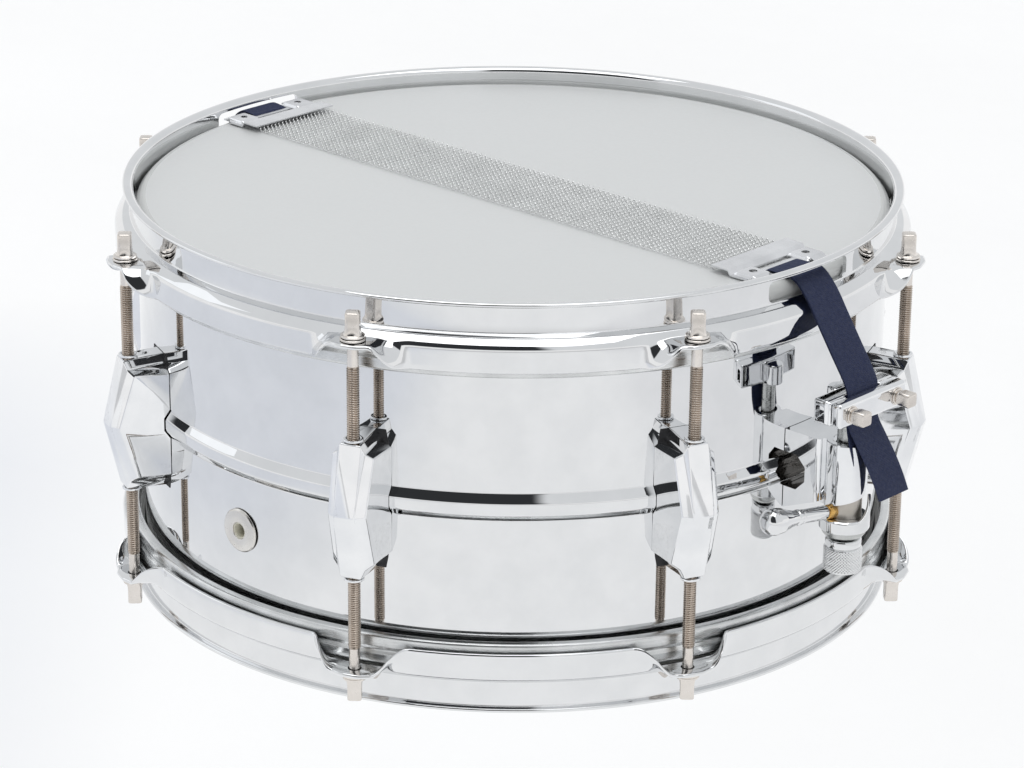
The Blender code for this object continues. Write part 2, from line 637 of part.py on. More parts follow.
def build_clamps():
    boss = rod_between((BOSS_X, 0, CLAMP_LOW + 0.3 * MM), (BOSS_X, 0, BOSS_TOP), BOSS_RADIUS, 16)
    backed = combine(clamp_block(1, BLOCK_BACK), [boss, block(
        (BOSS_X, -BOSS_RADIUS * 0.9, CLAMP_LOW + 0.3 * MM), (BLOCK_BACK + 2 * MM, BOSS_RADIUS * 0.9, BOSS_TOP))],
        "UNION")
    place("strainer_clamp_block", smooth(combine(backed, clamp_bores(1))), CHROME)
    build_clamp_plate("strainer_clamp_plate", 1)
    foot = block((-(BLOCK_BACK + 2 * MM), -BUTT_HALF, BUTT_LOW), (-LUG_BACK, BUTT_HALF, CLAMP_HIGH - 1.0 * MM),
                 2.0 * MM, along=0)
    butt = combine(foot, [clamp_block(-1, BLOCK_BACK)], "UNION")
    place("butt_base", smooth(combine(butt, clamp_bores(-1))), CHROME)
    build_clamp_plate("butt_clamp_plate", -1)
    for side, owner in ((1, "strainer"), (-1, "butt")):
        for letter, y in (("a", -SCREW_Y), ("b", SCREW_Y)):
            build_clamp_screw(f"{owner}_clamp_screw_{letter}", side, y)


def build_mounting_screws():
    """Screw heads inside the shell that hold the strainer and the butt end."""
    for side, owner, heights in ((1, "strainer", STRAINER_SCREW_HEIGHTS), (-1, "butt", BUTT_SCREW_HEIGHTS)):
        for letter, height in zip("ab", heights):
            start = (side * INNER_FACE, 0, height)
            end = (side * (INNER_FACE - INNER_HEAD_DEPTH), 0, height)
            mesh = rod_between(start, end, INNER_HEAD, 12, radius_end=INNER_HEAD * 0.7)
            place(f"{owner}_mount_screw_{letter}", smooth(mesh), NICKEL)


# ---------------------------------------------------------------- snares

def build_strands():
    """All strands as one ribbed slab between the end plates."""
    low = HEAD_TOP + STRAND_GAP
    half = STRAND_COUNT * STRAND_PITCH / 2
    section = [(half, low), (-half, low)]
    for i in range(STRAND_COUNT):
        y = -half + STRAND_PITCH * i
        section += [(y, low + STRAND_HEIGHT * 0.4), (y + STRAND_PITCH / 2, low + STRAND_HEIGHT)]
    section.append((half, low + STRAND_HEIGHT * 0.4))
    rings = [[(x, y, z) for y, z in section] for x in (SNARE_SHIFT - STRAND_HALF, SNARE_SHIFT + STRAND_HALF)]
    place("snare_strands", loft(rings), STEEL)


def build_end_plate(name, side):
    """Stepped plate over the strands' ends, with a slot for the strap."""
    top = HEAD_TOP + STRAND_GAP + STRAND_HEIGHT + PLATE_RISE + 0.3 * MM
    floor = HEAD_TOP + STRAND_GAP + PLATE_RISE
    line = [(PLATE_INNER, top), (PLATE_STEP - 4.5 * MM, top), (PLATE_STEP, floor), (PLATE_OUTER, floor)]
    points = [(SNARE_SHIFT + side * x, y, z) for y in (-PLATE_HALF, PLATE_HALF) for x, z in line]
    faces = [(k, k + 1, k + 5, k + 4) for k in range(3)]
    mesh = bake(sheet(cutter(mesh_of(points, faces)), PLATE_SHEET))
    span = sorted((SNARE_SHIFT + side * SLOT_FROM, SNARE_SHIFT + side * SLOT_TO))
    slot = block((span[0], -SLOT_HALF, HEAD_TOP - 2 * MM), (span[1], SLOT_HALF, HEAD_TOP + 6 * MM))
    holes = [rod_between((SNARE_SHIFT + side * (SLOT_TO - 1 * MM), y, HEAD_TOP - 2 * MM),
                         (SNARE_SHIFT + side * (SLOT_TO - 1 * MM), y, HEAD_TOP + 6 * MM), 1.7 * MM, 8)
             for y in (-18 * MM, 18 * MM)]
    place(name, combine(mesh, [slot] + holes), STEEL)


def build_strap(name, side, start, tail):
    """The ribbon as one strip: over the end plate, out of the gate, over the hoop and down through the clamp."""
    route = [(start, 186.8, 0.0), (175.2, 186.8, 0.0), (179.0, 185.0, 0.0),
             (188.4, 174.6, 0.0), (190.6, 171.2, 0.0), (209.6, 143.0, 0.0), (210.6, 140.9, 0.0),
             (210.6, 128.4, 0.3)] + tail
    points = [(side * x * MM, y * MM + edge, z * MM) for x, z, y in route for edge in (-STRAP_HALF, STRAP_HALF)]
    faces = [(2 * i, 2 * i + 1, 2 * i + 3, 2 * i + 2) for i in range(len(route) - 1)]
    place(name, smooth(bake(sheet(cutter(mesh_of(points, faces)), STRAP_SHEET)), angle=50), RIBBON)


def build_snares():
    build_strands()
    build_end_plate("strainer_end_plate", 1)
    build_end_plate("butt_end_plate", -1)
    build_strap("strainer_strap", 1, 164.0, [(213.0, 121.0, 2.0), (215.4, 113.5, 4.5), (217.6, 102.0, 9.5),
                                             (219.0, 89.6, 14.0)])
    build_strap("butt_strap", -1, 169.0, [(211.6, 120.0, 1.0), (212.6, 108.0, 1.5)])


for stale in list(bpy.data.objects):
    bpy.data.objects.remove(stale)
DRUM = bpy.data.collections.new("snare_drum")
CUTTERS = bpy.data.collections.new("cutters")
bpy.context.scene.collection.children.link(DRUM)
bpy.context.scene.collection.children.link(CUTTERS)

CHROME = material("chrome", (0.84, 0.85, 0.87), 0.06, 1.0)
NICKEL = material("nickel_steel", (0.66, 0.62, 0.57), 0.25, 1.0)
STEEL = material("snare_steel", (0.72, 0.73, 0.74), 0.22, 1.0)
ALUMINIUM = material("flesh_hoop_aluminium", (0.62, 0.63, 0.63), 0.35, 1.0)
SNARE_FILM = material("snare_side_film", (0.86, 0.86, 0.84), 0.4, 0.0)
BATTER_FILM = material("batter_film", (0.9, 0.9, 0.88), 0.5, 0.0)
RIBBON = material("strap_ribbon", (0.016, 0.024, 0.062), 0.8, 0.0)

build_shell()
build_vent_grommet()
for prefix, is_snare_side, film in (("batter", False, BATTER_FILM), ("snare_side", True, SNARE_FILM)):
    build_head(f"{prefix}_head", is_snare_side, film)
    build_flesh_hoop(f"{prefix}_flesh_hoop", is_snare_side)
    build_counter_hoop(f"{prefix}_counter_hoop", is_snare_side)
build_lugs_and_rods()
build_strainer_base()
build_lever()
build_piston()
build_knob()
build_clamps()
build_mounting_screws()
build_snares()
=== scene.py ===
"""Looks of the snare drum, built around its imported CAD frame.

Lengths in this script are millimetres until a mesh is made; the drum's axis is Z, the snare side is up,
+X points at the strainer and -X at the butt end.
"""
import math

import bmesh
import bpy
import numpy as np
from mathutils import Matrix, Vector


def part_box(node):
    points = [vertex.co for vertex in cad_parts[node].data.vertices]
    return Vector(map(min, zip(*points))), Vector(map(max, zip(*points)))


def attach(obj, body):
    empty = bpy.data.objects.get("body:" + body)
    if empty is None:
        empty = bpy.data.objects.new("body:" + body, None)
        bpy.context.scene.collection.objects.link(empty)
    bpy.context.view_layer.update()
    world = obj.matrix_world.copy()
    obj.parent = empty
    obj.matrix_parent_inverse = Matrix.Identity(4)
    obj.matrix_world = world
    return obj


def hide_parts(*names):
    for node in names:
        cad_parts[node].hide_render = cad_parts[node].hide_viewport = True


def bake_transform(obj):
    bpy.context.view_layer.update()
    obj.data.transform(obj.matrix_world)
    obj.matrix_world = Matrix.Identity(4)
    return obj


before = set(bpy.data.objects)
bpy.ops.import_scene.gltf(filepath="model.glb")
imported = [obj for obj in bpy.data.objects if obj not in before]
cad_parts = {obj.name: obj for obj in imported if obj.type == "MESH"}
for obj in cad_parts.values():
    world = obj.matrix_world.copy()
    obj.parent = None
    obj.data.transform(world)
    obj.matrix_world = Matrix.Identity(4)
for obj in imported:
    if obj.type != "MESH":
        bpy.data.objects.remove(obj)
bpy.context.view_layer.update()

MM = 0.001
TAU = 2 * math.pi


def low(node):
    return np.array(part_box(node)[0]) / MM


def high(node):
    return np.array(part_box(node)[1]) / MM


def polar(radius, angle, height):
    """A point at a radius and an angle about the drum's axis."""
    return radius * math.cos(angle), radius * math.sin(angle), height


# ---------------------------------------------------------------- places read from the frame

HEIGHT = high("snare_side_counter_hoop")[2]
MID = HEIGHT / 2
LUG_COUNT = sum(name.startswith("lug_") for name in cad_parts)
LUG_ANGLES = [math.radians(22.5) + TAU / LUG_COUNT * i for i in range(LUG_COUNT)]
ROD_CIRCLE = 192.0
AXIS_X = (low("piston")[0] + high("piston")[0]) / 2      # the axis of lever, piston and knob
HEAD_TOP = high("snare_side_head")[2]
VENT_HEIGHT = (low("vent_grommet")[2] + high("vent_grommet")[2]) / 2
LEVER_REST = math.radians(-97)


# ---------------------------------------------------------------- mesh helpers

def written(work, mesh=None):
    """The mesh of a finished bmesh."""
    mesh = mesh or bpy.data.meshes.new("piece")
    work.to_mesh(mesh)
    work.free()
    return mesh


def mesh_from(points, faces, weld=0.0):
    """A mesh in metres from points in millimetres; its faces are turned outwards."""
    mesh = bpy.data.meshes.new("piece")
    mesh.from_pydata((np.asarray(points, float) * MM).tolist(), [], [list(map(int, f)) for f in faces])
    work = bmesh.new()
    work.from_mesh(mesh)
    if weld:
        bmesh.ops.remove_doubles(work, verts=work.verts, dist=weld * MM)
    bmesh.ops.recalc_face_normals(work, faces=work.faces)
    return written(work, mesh)


def grid_faces(rows, columns, wrap_rows=False, wrap_columns=False):
    """Quads over points that are numbered row by row."""
    row = np.arange(rows if wrap_rows else rows - 1)
    column = np.arange(columns if wrap_columns else columns - 1)
    i, j = np.meshgrid(row, column, indexing="ij")
    i2, j2 = (i + 1) % rows, (j + 1) % columns
    quads = np.stack([i * columns + j, i * columns + j2, i2 * columns + j2, i2 * columns + j], -1)
    return quads.reshape(-1, 4).tolist()


def joined(first, second):
    """Quads between two closed rings of point numbers."""
    count = len(first)
    return [[first[k], first[(k + 1) % count], second[(k + 1) % count], second[k]] for k in range(count)]


def eased(part):
    """0 to 1 with a soft start and end, for a part held between 0 and 1."""
    part = min(1.0, max(0.0, part))
    return part * part * (3 - 2 * part)


def fillet(points, radii, steps=5):
    """A polyline whose inner corners are rounded; each corner becomes steps + 1 points."""
    points = [np.array(p, float) for p in points]
    line = [points[0]]
    for before, corner, after, radius in zip(points, points[1:], points[2:], radii):
        back, ahead = before - corner, after - corner
        back_length, ahead_length = np.linalg.norm(back), np.linalg.norm(ahead)
        back, ahead = back / back_length, ahead / ahead_length
        opening = math.acos(max(-1.0, min(1.0, float(back @ ahead))))
        if opening > math.pi - 1e-3:
            line += [corner + back * (steps / 2 - k) * 0.01 for k in range(steps + 1)]
            continue
        reach = min(radius / math.tan(opening / 2), 0.48 * back_length, 0.48 * ahead_length)
        radius = reach * math.tan(opening / 2)
        middle = (back + ahead) / np.linalg.norm(back + ahead)
        centre = corner + middle * radius / math.sin(opening / 2)
        first = corner + back * reach - centre
        across = corner + ahead * reach - centre
        sweep = math.pi - opening
        for k in range(steps + 1):
            part = k / steps
            line.append(centre + (first * math.sin((1 - part) * sweep) + across * math.sin(part * sweep))
                        / math.sin(sweep))
    line.append(points[-1])
    return np.array(line)


def loop(points, radii, steps=4):
    """A closed outline with every corner rounded."""
    points = list(points)
    line = fillet([points[-1]] + points + [points[0]], radii, steps)
    return line[1:-1]


def units(rows):
    """Each row scaled to length one."""
    return rows / np.linalg.norm(rows, axis=1, keepdims=True)


def thicken(line, half, cap=4):
    """The closed outline of a sheet about its middle line, with round ends."""
    line = np.asarray(line, float)
    step = units(np.gradient(line, axis=0))
    normal = np.stack([-step[:, 1], step[:, 0]], 1)
    ends = []
    for centre, along, side in ((line[-1], step[-1], normal[-1]), (line[0], -step[0], -normal[0])):
        turn = np.pi * np.arange(1, cap) / cap
        ends.append(centre + half * (np.cos(turn)[:, None] * side + np.sin(turn)[:, None] * along))
    return np.concatenate([line + half * normal, ends[0], (line - half * normal)[::-1], ends[1]])


def turned(profile, segments, closed=True):
    """A profile of (radius, height) turned about Z."""
    profile = np.asarray(profile, float)
    angle = TAU * np.arange(segments) / segments
    points = np.stack([np.outer(np.cos(angle), profile[:, 0]), np.outer(np.sin(angle), profile[:, 0]),
                       np.tile(profile[:, 1], (segments, 1))], -1).reshape(-1, 3)
    return mesh_from(points, grid_faces(segments, len(profile), True, closed), weld=0.0 if closed else 0.002)


def tube_faces(count, size, start=0):
    """Quads over closed rings of points, with a flat face at both ends."""
    faces = grid_faces(count, size, False, True)
    faces += [list(range(size)), list(range((count - 1) * size, count * size))]
    return [[start + v for v in face] for face in faces]


def stacked(rings):
    """A skin through rings with equal counts of points, closed by flat ends."""
    rings = np.asarray(rings, float)
    return mesh_from(rings.reshape(-1, 3), tube_faces(*rings.shape[:2]))


def shown(name, data):
    """A new object in the scene."""
    thing = bpy.data.objects.new(name, data)
    bpy.context.scene.collection.objects.link(thing)
    return thing


def baked(mesh, *steps):
    """The mesh after modifiers, each given as (kind, settings)."""
    guide = shown("guide", mesh)
    for kind, settings in steps:
        modifier = guide.modifiers.new(kind, kind)
        for key, value in settings.items():
            setattr(modifier, key, value)
    bpy.context.view_layer.update()
    made = bpy.data.meshes.new_from_object(guide.evaluated_get(bpy.context.evaluated_depsgraph_get()))
    bpy.data.objects.remove(guide)
    return made


def combined(mesh, tools, operation="DIFFERENCE"):
    """A mesh cut by, or joined with, others."""
    others = [shown("tool", tool) for tool in tools]
    made = baked(mesh, *[("BOOLEAN", {"operation": operation, "solver": "EXACT", "object": other})
                         for other in others])
    for other in others:
        bpy.data.objects.remove(other)
    return made


def bevelled(mesh, width, segments=3, angle=20):
    return baked(mesh, ("BEVEL", {"width": width * MM, "segments": segments, "limit_method": "ANGLE",
                                  "angle_limit": math.radians(angle), "miter_outer": "MITER_ARC"}))


def faceted(mesh, angle=30):
    """Shading that keeps large faces flat and lets the narrow rounded edges carry the turn."""
    return baked(smoothed(mesh, angle), ("WEIGHTED_NORMAL", {"keep_sharp": True, "weight": 100}))


def block(lowest, highest, radius=0.0, segments=4, along=None):
    """A box with rounded edges; with an axis given, only the edges along it are rounded."""
    work = bmesh.new()
    bmesh.ops.create_cube(work, size=1.0)
    lowest, highest = np.array(lowest, float), np.array(highest, float)
    for vertex in work.verts:
        vertex.co = Vector(((lowest + highest) / 2 + np.array(vertex.co) * (highest - lowest)) * MM)
    if radius:
        edges = [e for e in work.edges
                 if along is None or abs((e.verts[0].co - e.verts[1].co)[along]) > 1e-6]
        bmesh.ops.bevel(work, geom=edges, offset=radius * MM, segments=segments, profile=0.5, affect="EDGES")
    return written(work)


def bar(start, end, radius, sides, roll):
    """A plain cylinder between two points, used to cut; the roll keeps its edges off other meshes' edges."""
    start, end = Vector(start) * MM, Vector(end) * MM
    work = bmesh.new()
    bmesh.ops.create_cone(work, cap_ends=True, segments=sides, radius1=radius * MM, radius2=radius * MM,
                          depth=(end - start).length)
    aim = (end - start).to_track_quat("Z", "Y").to_matrix().to_4x4()
    bmesh.ops.transform(work,
                        matrix=Matrix.Translation((start + end) / 2) @ aim @ Matrix.Rotation(roll, 4, "Z"),
                        verts=work.verts)
    return written(work)


def moved(mesh, location=(0, 0, 0), turn=0.0, axis="Z"):
    mesh.transform(Matrix.Translation(Vector(location) * MM) @ Matrix.Rotation(turn, 4, axis))
    mesh.update()
    return mesh


def smoothed(mesh, angle):
    """Smooth shading, with edges sharper than the angle kept sharp."""
    mesh.shade_smooth()
    mesh.set_sharp_from_angle(angle=math.radians(angle))
    return mesh


def painted(mesh, first, second, chosen):
    """Two finishes on one mesh: the second where chosen(face's middle in mm) holds."""
    mesh.materials.append(first[0])
    mesh.materials.append(second[0])
    for face in mesh.polygons:
        face.material_index = int(chosen(*(face.center / MM)))
    return mesh


def place(name, mesh, finish, body, location=(0, 0, 0), turn=0.0, smooth=35, node=None):
    surface, slot = finish
    piece = shown(name, mesh)
    if not mesh.materials:
        mesh.materials.append(surface)
        smoothed(mesh, smooth)
    piece.location = Vector(location) * MM
    piece.rotation_euler = (0, 0, turn)
    if body:
        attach(piece, body)
    if node:
        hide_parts(node)
    return piece


# ---------------------------------------------------------------- materials

class Nodes:
    """A node tree with short ways to add, set and join nodes; a value is a number, a tuple or a socket."""

    def __init__(self, owner, place="Object"):
        owner.use_nodes = True
        self.owner, self.tree = owner, owner.node_tree
        self.place = self.add("ShaderNodeTexCoord").outputs[place]

    def feed(self, node, **values):
        for key, value in values.items():
            self.put(node.inputs[key.replace("_", " ")], value)

    def put(self, socket, value):
        if isinstance(value, bpy.types.NodeSocket):
            self.tree.links.new(value, socket)
        else:
            socket.default_value = value

    def add(self, kind, *inputs, **settings):
        """A new node; inputs are (socket's name or number, value)."""
        node = self.tree.nodes.new(kind)
        for key, value in settings.items():
            setattr(node, key, value)
        for key, value in inputs:
            self.put(node.inputs[key], value)
        return node

    def math(self, operation, *values):
        return self.add("ShaderNodeMath", *enumerate(values), operation=operation).outputs[0]

    def along(self, vector):
        """How far a place, or how much of a direction, lies along a unit vector."""
        node = self.add("ShaderNodeVectorMath", (0, self.place), (1, vector), operation="DOT_PRODUCT")
        return node.outputs["Value"]

    def mix(self, factor, first, second):
        return self.add("ShaderNodeMix", (0, factor), (6, first), (7, second), data_type="RGBA").outputs[2]

    def noise(self, scale, detail=3.0, stretch=(1, 1, 1), roughness=0.5):
        """Noise over the object's own place; scale counts features per metre."""
        spot = self.add("ShaderNodeMapping", ("Scale", stretch), ("Vector", self.place)).outputs["Vector"]
        return self.add("ShaderNodeTexNoise", ("Vector", spot), ("Scale", scale), ("Detail", detail),
                        ("Roughness", roughness)).outputs["Fac"]

    def spread(self, value, lowest, highest, start=0.3, end=0.7, kind="LINEAR"):
        return self.add("ShaderNodeMapRange", ("Value", value), ("From Min", start), ("From Max", end),
                        ("To Min", lowest), ("To Max", highest), interpolation_type=kind).outputs["Result"]

    def ramp(self, value, *stops):
        """Colours against a value, as (place, colour)."""
        node = self.add("ShaderNodeValToRGB", ("Fac", value))
        while len(node.color_ramp.elements) < len(stops):
            node.color_ramp.elements.new(0.5)
        for element, (spot, color) in zip(node.color_ramp.elements, stops):
            element.position = spot
            element.color = (*color, 1.0)
        return node.outputs["Color"]

    def bump(self, height, distance, *below):
        """Bump of a depth in mm, over an earlier one if given."""
        return self.add("ShaderNodeBump", ("Height", height), ("Distance", distance * MM), ("Strength", 1.0),
                        *[("Normal", normal) for normal in below]).outputs["Normal"]


def material(name):
    """A new material's nodes and its shader."""
    nodes = Nodes(bpy.data.materials.new(name))
    return nodes, nodes.tree.nodes["Principled BSDF"]


def metal(name, slot, dull, bright, rough, speckle=600, wave=None, grain=None, stretch=(1, 1, 1)):
    """Metal whose colour and roughness vary; wave and grain are large and fine unevenness as (scale, mm)."""
    nodes, shader = material(name)
    normal = []
    if wave:
        normal = [nodes.bump(nodes.noise(wave[0], 2.0), wave[1])]
    if grain:
        normal = [nodes.bump(nodes.noise(grain[0], 3.0, stretch), grain[1], *normal)]
    nodes.feed(shader, Metallic=1.0,
               Base_Color=nodes.ramp(nodes.noise(60, 4.0), (0.35, dull), (0.65, bright)),
               Roughness=nodes.spread(nodes.noise(speckle, 5.0, stretch, 0.6), *rough),
               **{"Normal": socket for socket in normal})
    return nodes.owner, slot


LENGTHWISE = (1, 1, 60)
CHROME = metal("polished_chrome", "chrome", (0.745, 0.752, 0.76), (0.785, 0.79, 0.797), (0.012, 0.035),
               wave=(10, 0.018))
# Cast chrome: the rougher, wavier finish is the castings' own, but its base colour, lighter than the shell's
# chrome, is painted light.
CAST_CHROME_PAINTED_BRIGHTER = metal("cast_chrome_painted_brighter", "chrome", (0.79, 0.80, 0.815), (0.86, 0.865, 0.875), (0.02, 0.07),
                    wave=(60, 0.02))
SATIN_CHROME = metal("satin_chrome", "chrome", (0.70, 0.71, 0.715), (0.80, 0.805, 0.81), (0.14, 0.26),
                     grain=(1500, 0.006))
BRUSHED = metal("brushed_steel", "chrome", (0.50, 0.51, 0.50), (0.66, 0.665, 0.66), (0.2, 0.36), 40,
                grain=(60, 0.006), stretch=LENGTHWISE)
SLEEVE = metal("worn_sleeve", "chrome", (0.40, 0.37, 0.33), (0.56, 0.53, 0.49), (0.3, 0.48), 40,
               grain=(60, 0.006), stretch=LENGTHWISE)
EYELET = metal("nickel_eyelet", "chrome", (0.66, 0.64, 0.61), (0.78, 0.76, 0.73), (0.18, 0.3),
               grain=(1500, 0.006))
# Painted shade: a near-black finish for the insides of the strainer's tunnel and bore, where shade falls.
PAINTED_SHADE_CASTING = metal("casting_painted_shade", "chrome", (0.07, 0.066, 0.06), (0.17, 0.16, 0.15), (0.08, 0.2),
                     grain=(1500, 0.01))
BRASS = metal("bare_brass", "chrome", (0.62, 0.36, 0.10), (0.78, 0.50, 0.19), (0.2, 0.36), grain=(1500, 0.01))
NICKEL = metal("nickel_steel", "nickel_steel", (0.68, 0.635, 0.59), (0.80, 0.76, 0.72), (0.16, 0.30), 900,
               grain=(1200, 0.008))
THREAD = metal("nickel_thread", "nickel_steel", (0.40, 0.345, 0.295), (0.56, 0.485, 0.42), (0.2, 0.36), 900)
WIRE = metal("snare_wire", "snare_steel", (0.78, 0.785, 0.78), (0.90, 0.905, 0.90), (0.07, 0.15), 800)
PLATE = metal("plated_steel", "snare_steel", (0.68, 0.685, 0.70), (0.80, 0.805, 0.82), (0.16, 0.26), 500,
              grain=(900, 0.003))
ALUMINIUM = metal("hoop_aluminium", "flesh_hoop_aluminium", (0.60, 0.61, 0.61), (0.74, 0.75, 0.75),
                  (0.2, 0.34), 30, grain=(40, 0.006), stretch=(1, 1, 30))


def film(name, cloudy, clear, rough, see_through):
    """Plastic film: cloudy in the middle, clear and shinier where it is drawn over the edge."""
    nodes, shader = material(name)
    split = nodes.add("ShaderNodeSeparateXYZ", ("Vector", nodes.place)).outputs
    flat = nodes.add("ShaderNodeCombineXYZ", ("X", split["X"]), ("Y", split["Y"])).outputs["Vector"]
    radius = nodes.add("ShaderNodeVectorMath", (0, flat), operation="LENGTH").outputs["Value"]
    edge = nodes.spread(radius, 0.0, 1.0, 0.1722, 0.1728)
    tone = nodes.ramp(nodes.noise(9, 3.0), (0.3, tuple(c * 0.985 for c in cloudy)), (0.7, cloudy))
    roughness = nodes.add("ShaderNodeMix", (0, edge),
                          (2, nodes.spread(nodes.noise(500, 4.0), *rough)), (3, 0.12),
                          data_type="FLOAT").outputs[0]
    normal = nodes.bump(nodes.noise(1800, 2.0), 0.004, nodes.bump(nodes.noise(7, 1.0), 0.12))
    nodes.feed(shader, IOR=1.45, Transmission_Weight=see_through, Roughness=roughness, Normal=normal,
               Base_Color=nodes.mix(edge, tone, (*clear, 1.0)))
    return nodes.owner, name


SNARE_FILM = film("snare_side_film", (0.735, 0.745, 0.742), (0.64, 0.65, 0.64), (0.3, 0.42), 0.12)
BATTER_FILM = film("batter_film", (0.84, 0.83, 0.79), (0.7, 0.7, 0.68), (0.45, 0.6), 0.05)


def soft(name, slot, dark, light, colour_noise, rough, rough_scale, grain_scale, grain, **settings):
    """A non-metal with mottled colour and roughness and a fine grain in mm."""
    nodes, shader = material(name)
    nodes.feed(shader, Base_Color=nodes.ramp(nodes.noise(*colour_noise), (0.3, dark), (0.7, light)),
               Roughness=nodes.spread(nodes.noise(rough_scale, 3.0), *rough),
               Normal=nodes.bump(nodes.noise(grain_scale, 3.0), grain), **settings)
    return nodes.owner, slot


RIBBON = soft("grosgrain_ribbon", "strap_ribbon", (0.006, 0.011, 0.040), (0.013, 0.023, 0.076), (2600, 3.0),
              (0.62, 0.85), 700, 2600, 0.06, Sheen_Weight=0.05, Sheen_Roughness=0.4,
              Sheen_Tint=(0.45, 0.55, 0.85, 1.0))
GASKET = soft("lug_gasket", "chrome", (0.012, 0.012, 0.014), (0.03, 0.03, 0.033), (300, 4.0), (0.5, 0.7), 900,
              1500, 0.02)
# Painted light: the pale sleeve in the vent's bore stands for the lit inside of the drum seen through the
# hole.
PAINTED_INSIDE_LIGHT = soft("vent_painted_inside_light", "batter_film", (0.70, 0.68, 0.57), (0.80, 0.78, 0.68), (300, 4.0), (0.4, 0.6), 900,
             1500, 0.02)


# ---------------------------------------------------------------- camera, light and floor

CAMERA_TARGET = Vector((0, 0, 0.090))
CAMERA_DISTANCE = 1.7147827
CAMERA_TURN = math.radians(43.112)
CAMERA_RISE = math.radians(20.9375)
CAMERA_ROLL = math.radians(0.6263)
CAMERA_LENS = {"sensor_fit": "HORIZONTAL", "sensor_width": 36.0, "lens": 125.44, "shift_x": 0.000667,
               "shift_y": -0.008484, "clip_start": 0.05}
AHEAD = (math.sin(CAMERA_TURN), -math.cos(CAMERA_TURN), 0.0)       # level, towards the camera
ACROSS = (math.cos(CAMERA_TURN), math.sin(CAMERA_TURN), 0.0)       # level, to the camera's right


def build_camera():
    away = Vector(AHEAD) * math.cos(CAMERA_RISE) + Vector((0, 0, math.sin(CAMERA_RISE)))
    level = Vector(ACROSS)
    upright = away.cross(level)
    right = math.cos(CAMERA_ROLL) * level + math.sin(CAMERA_ROLL) * upright
    up = -math.sin(CAMERA_ROLL) * level + math.cos(CAMERA_ROLL) * upright
    data = bpy.data.cameras.new("camera")
    for key, value in CAMERA_LENS.items():
        setattr(data, key, value)
    camera = shown("camera", data)
    pose = Matrix((right, up, away)).transposed().to_4x4()
    camera.matrix_world = Matrix.Translation(CAMERA_TARGET + away * CAMERA_DISTANCE) @ pose
    bpy.context.scene.camera = camera


# Degrees of height of the bright band round the horizon, and the dark flag's sides and height as the camera
# sees them, each with the width of its soft edge.
BAND_LOW, BAND_HIGH = (-13.0, -9.0), (11.0, 9.0)
FLAG_LEFT, FLAG_RIGHT = (-49.0, -43.0), (13.0, 7.0)
FLAG_LOW, FLAG_HIGH = (10.0, 14.0), (66.0, 58.0)
SKY = (0.80, 0.815, 0.83, 1.0)
HORIZON = (1.0, 1.0, 1.0, 1.0)
FLAG_COLOR = (0.035, 0.037, 0.04, 1.0)


def build_world():
    """A soft grey sky, a bright band round the horizon, and one black flag in front of the drum."""
    world = bpy.data.worlds.new("studio")
    bpy.context.scene.world = world
    nodes = Nodes(world, "Generated")
    turn = nodes.math("MULTIPLY", nodes.math("ARCTAN2", nodes.along(ACROSS), nodes.along(AHEAD)),
                      180 / math.pi)
    rise = nodes.math("MULTIPLY", nodes.math("ARCSINE", nodes.along((0.0, 0.0, 1.0))), 180 / math.pi)

    def within(*edges):
        """1 inside all of the given soft edges and 0 outside."""
        inside = 1.0
        for value, edge in edges:
            inside = nodes.math("MULTIPLY", inside, nodes.spread(value, 0.0, 1.0, *edge, kind="SMOOTHSTEP"))
        return inside

    band = within((rise, BAND_LOW), (rise, BAND_HIGH))
    flag = within((turn, FLAG_LEFT), (turn, FLAG_RIGHT), (rise, FLAG_LOW), (rise, FLAG_HIGH))
    nodes.feed(nodes.tree.nodes["Background"],
               Color=nodes.mix(flag, nodes.mix(band, SKY, HORIZON), FLAG_COLOR), Strength=1.0)


def build_lights():
    for name, spot, size, power, color in (
            ("overhead_softbox", (0.1, -0.2, 1.7), 1.4, 8.0, (1.0, 1.0, 1.0)),
            ("side_softbox", (-1.5, -0.9, 1.0), 0.9, 1.0, (0.93, 0.96, 1.0))):
        data = bpy.data.lights.new(name, "AREA")
        data.shape, data.size, data.energy, data.color = "SQUARE", size, power, color
        light = shown(name, data)
        light.location = spot
        light.rotation_euler = (CAMERA_TARGET - light.location).to_track_quat("-Z", "Y").to_euler()


FLOOR_RADII = (1.0, 400.0, 1200.0, 3200.0)
FLOOR_LEVEL = -0.4
# The floor's emission is painted light; its bluer, greyer and edge tones are painted shade.
PAINTED_LIGHT_WHITE = (0.53, 0.53, 0.53)
PAINTED_SHADE_BLUE = (0.44, 0.45, 0.475)
PAINTED_SHADE_EDGE = (0.48, 0.485, 0.495)
PAINTED_SHADE_GREY = (0.48, 0.48, 0.485)


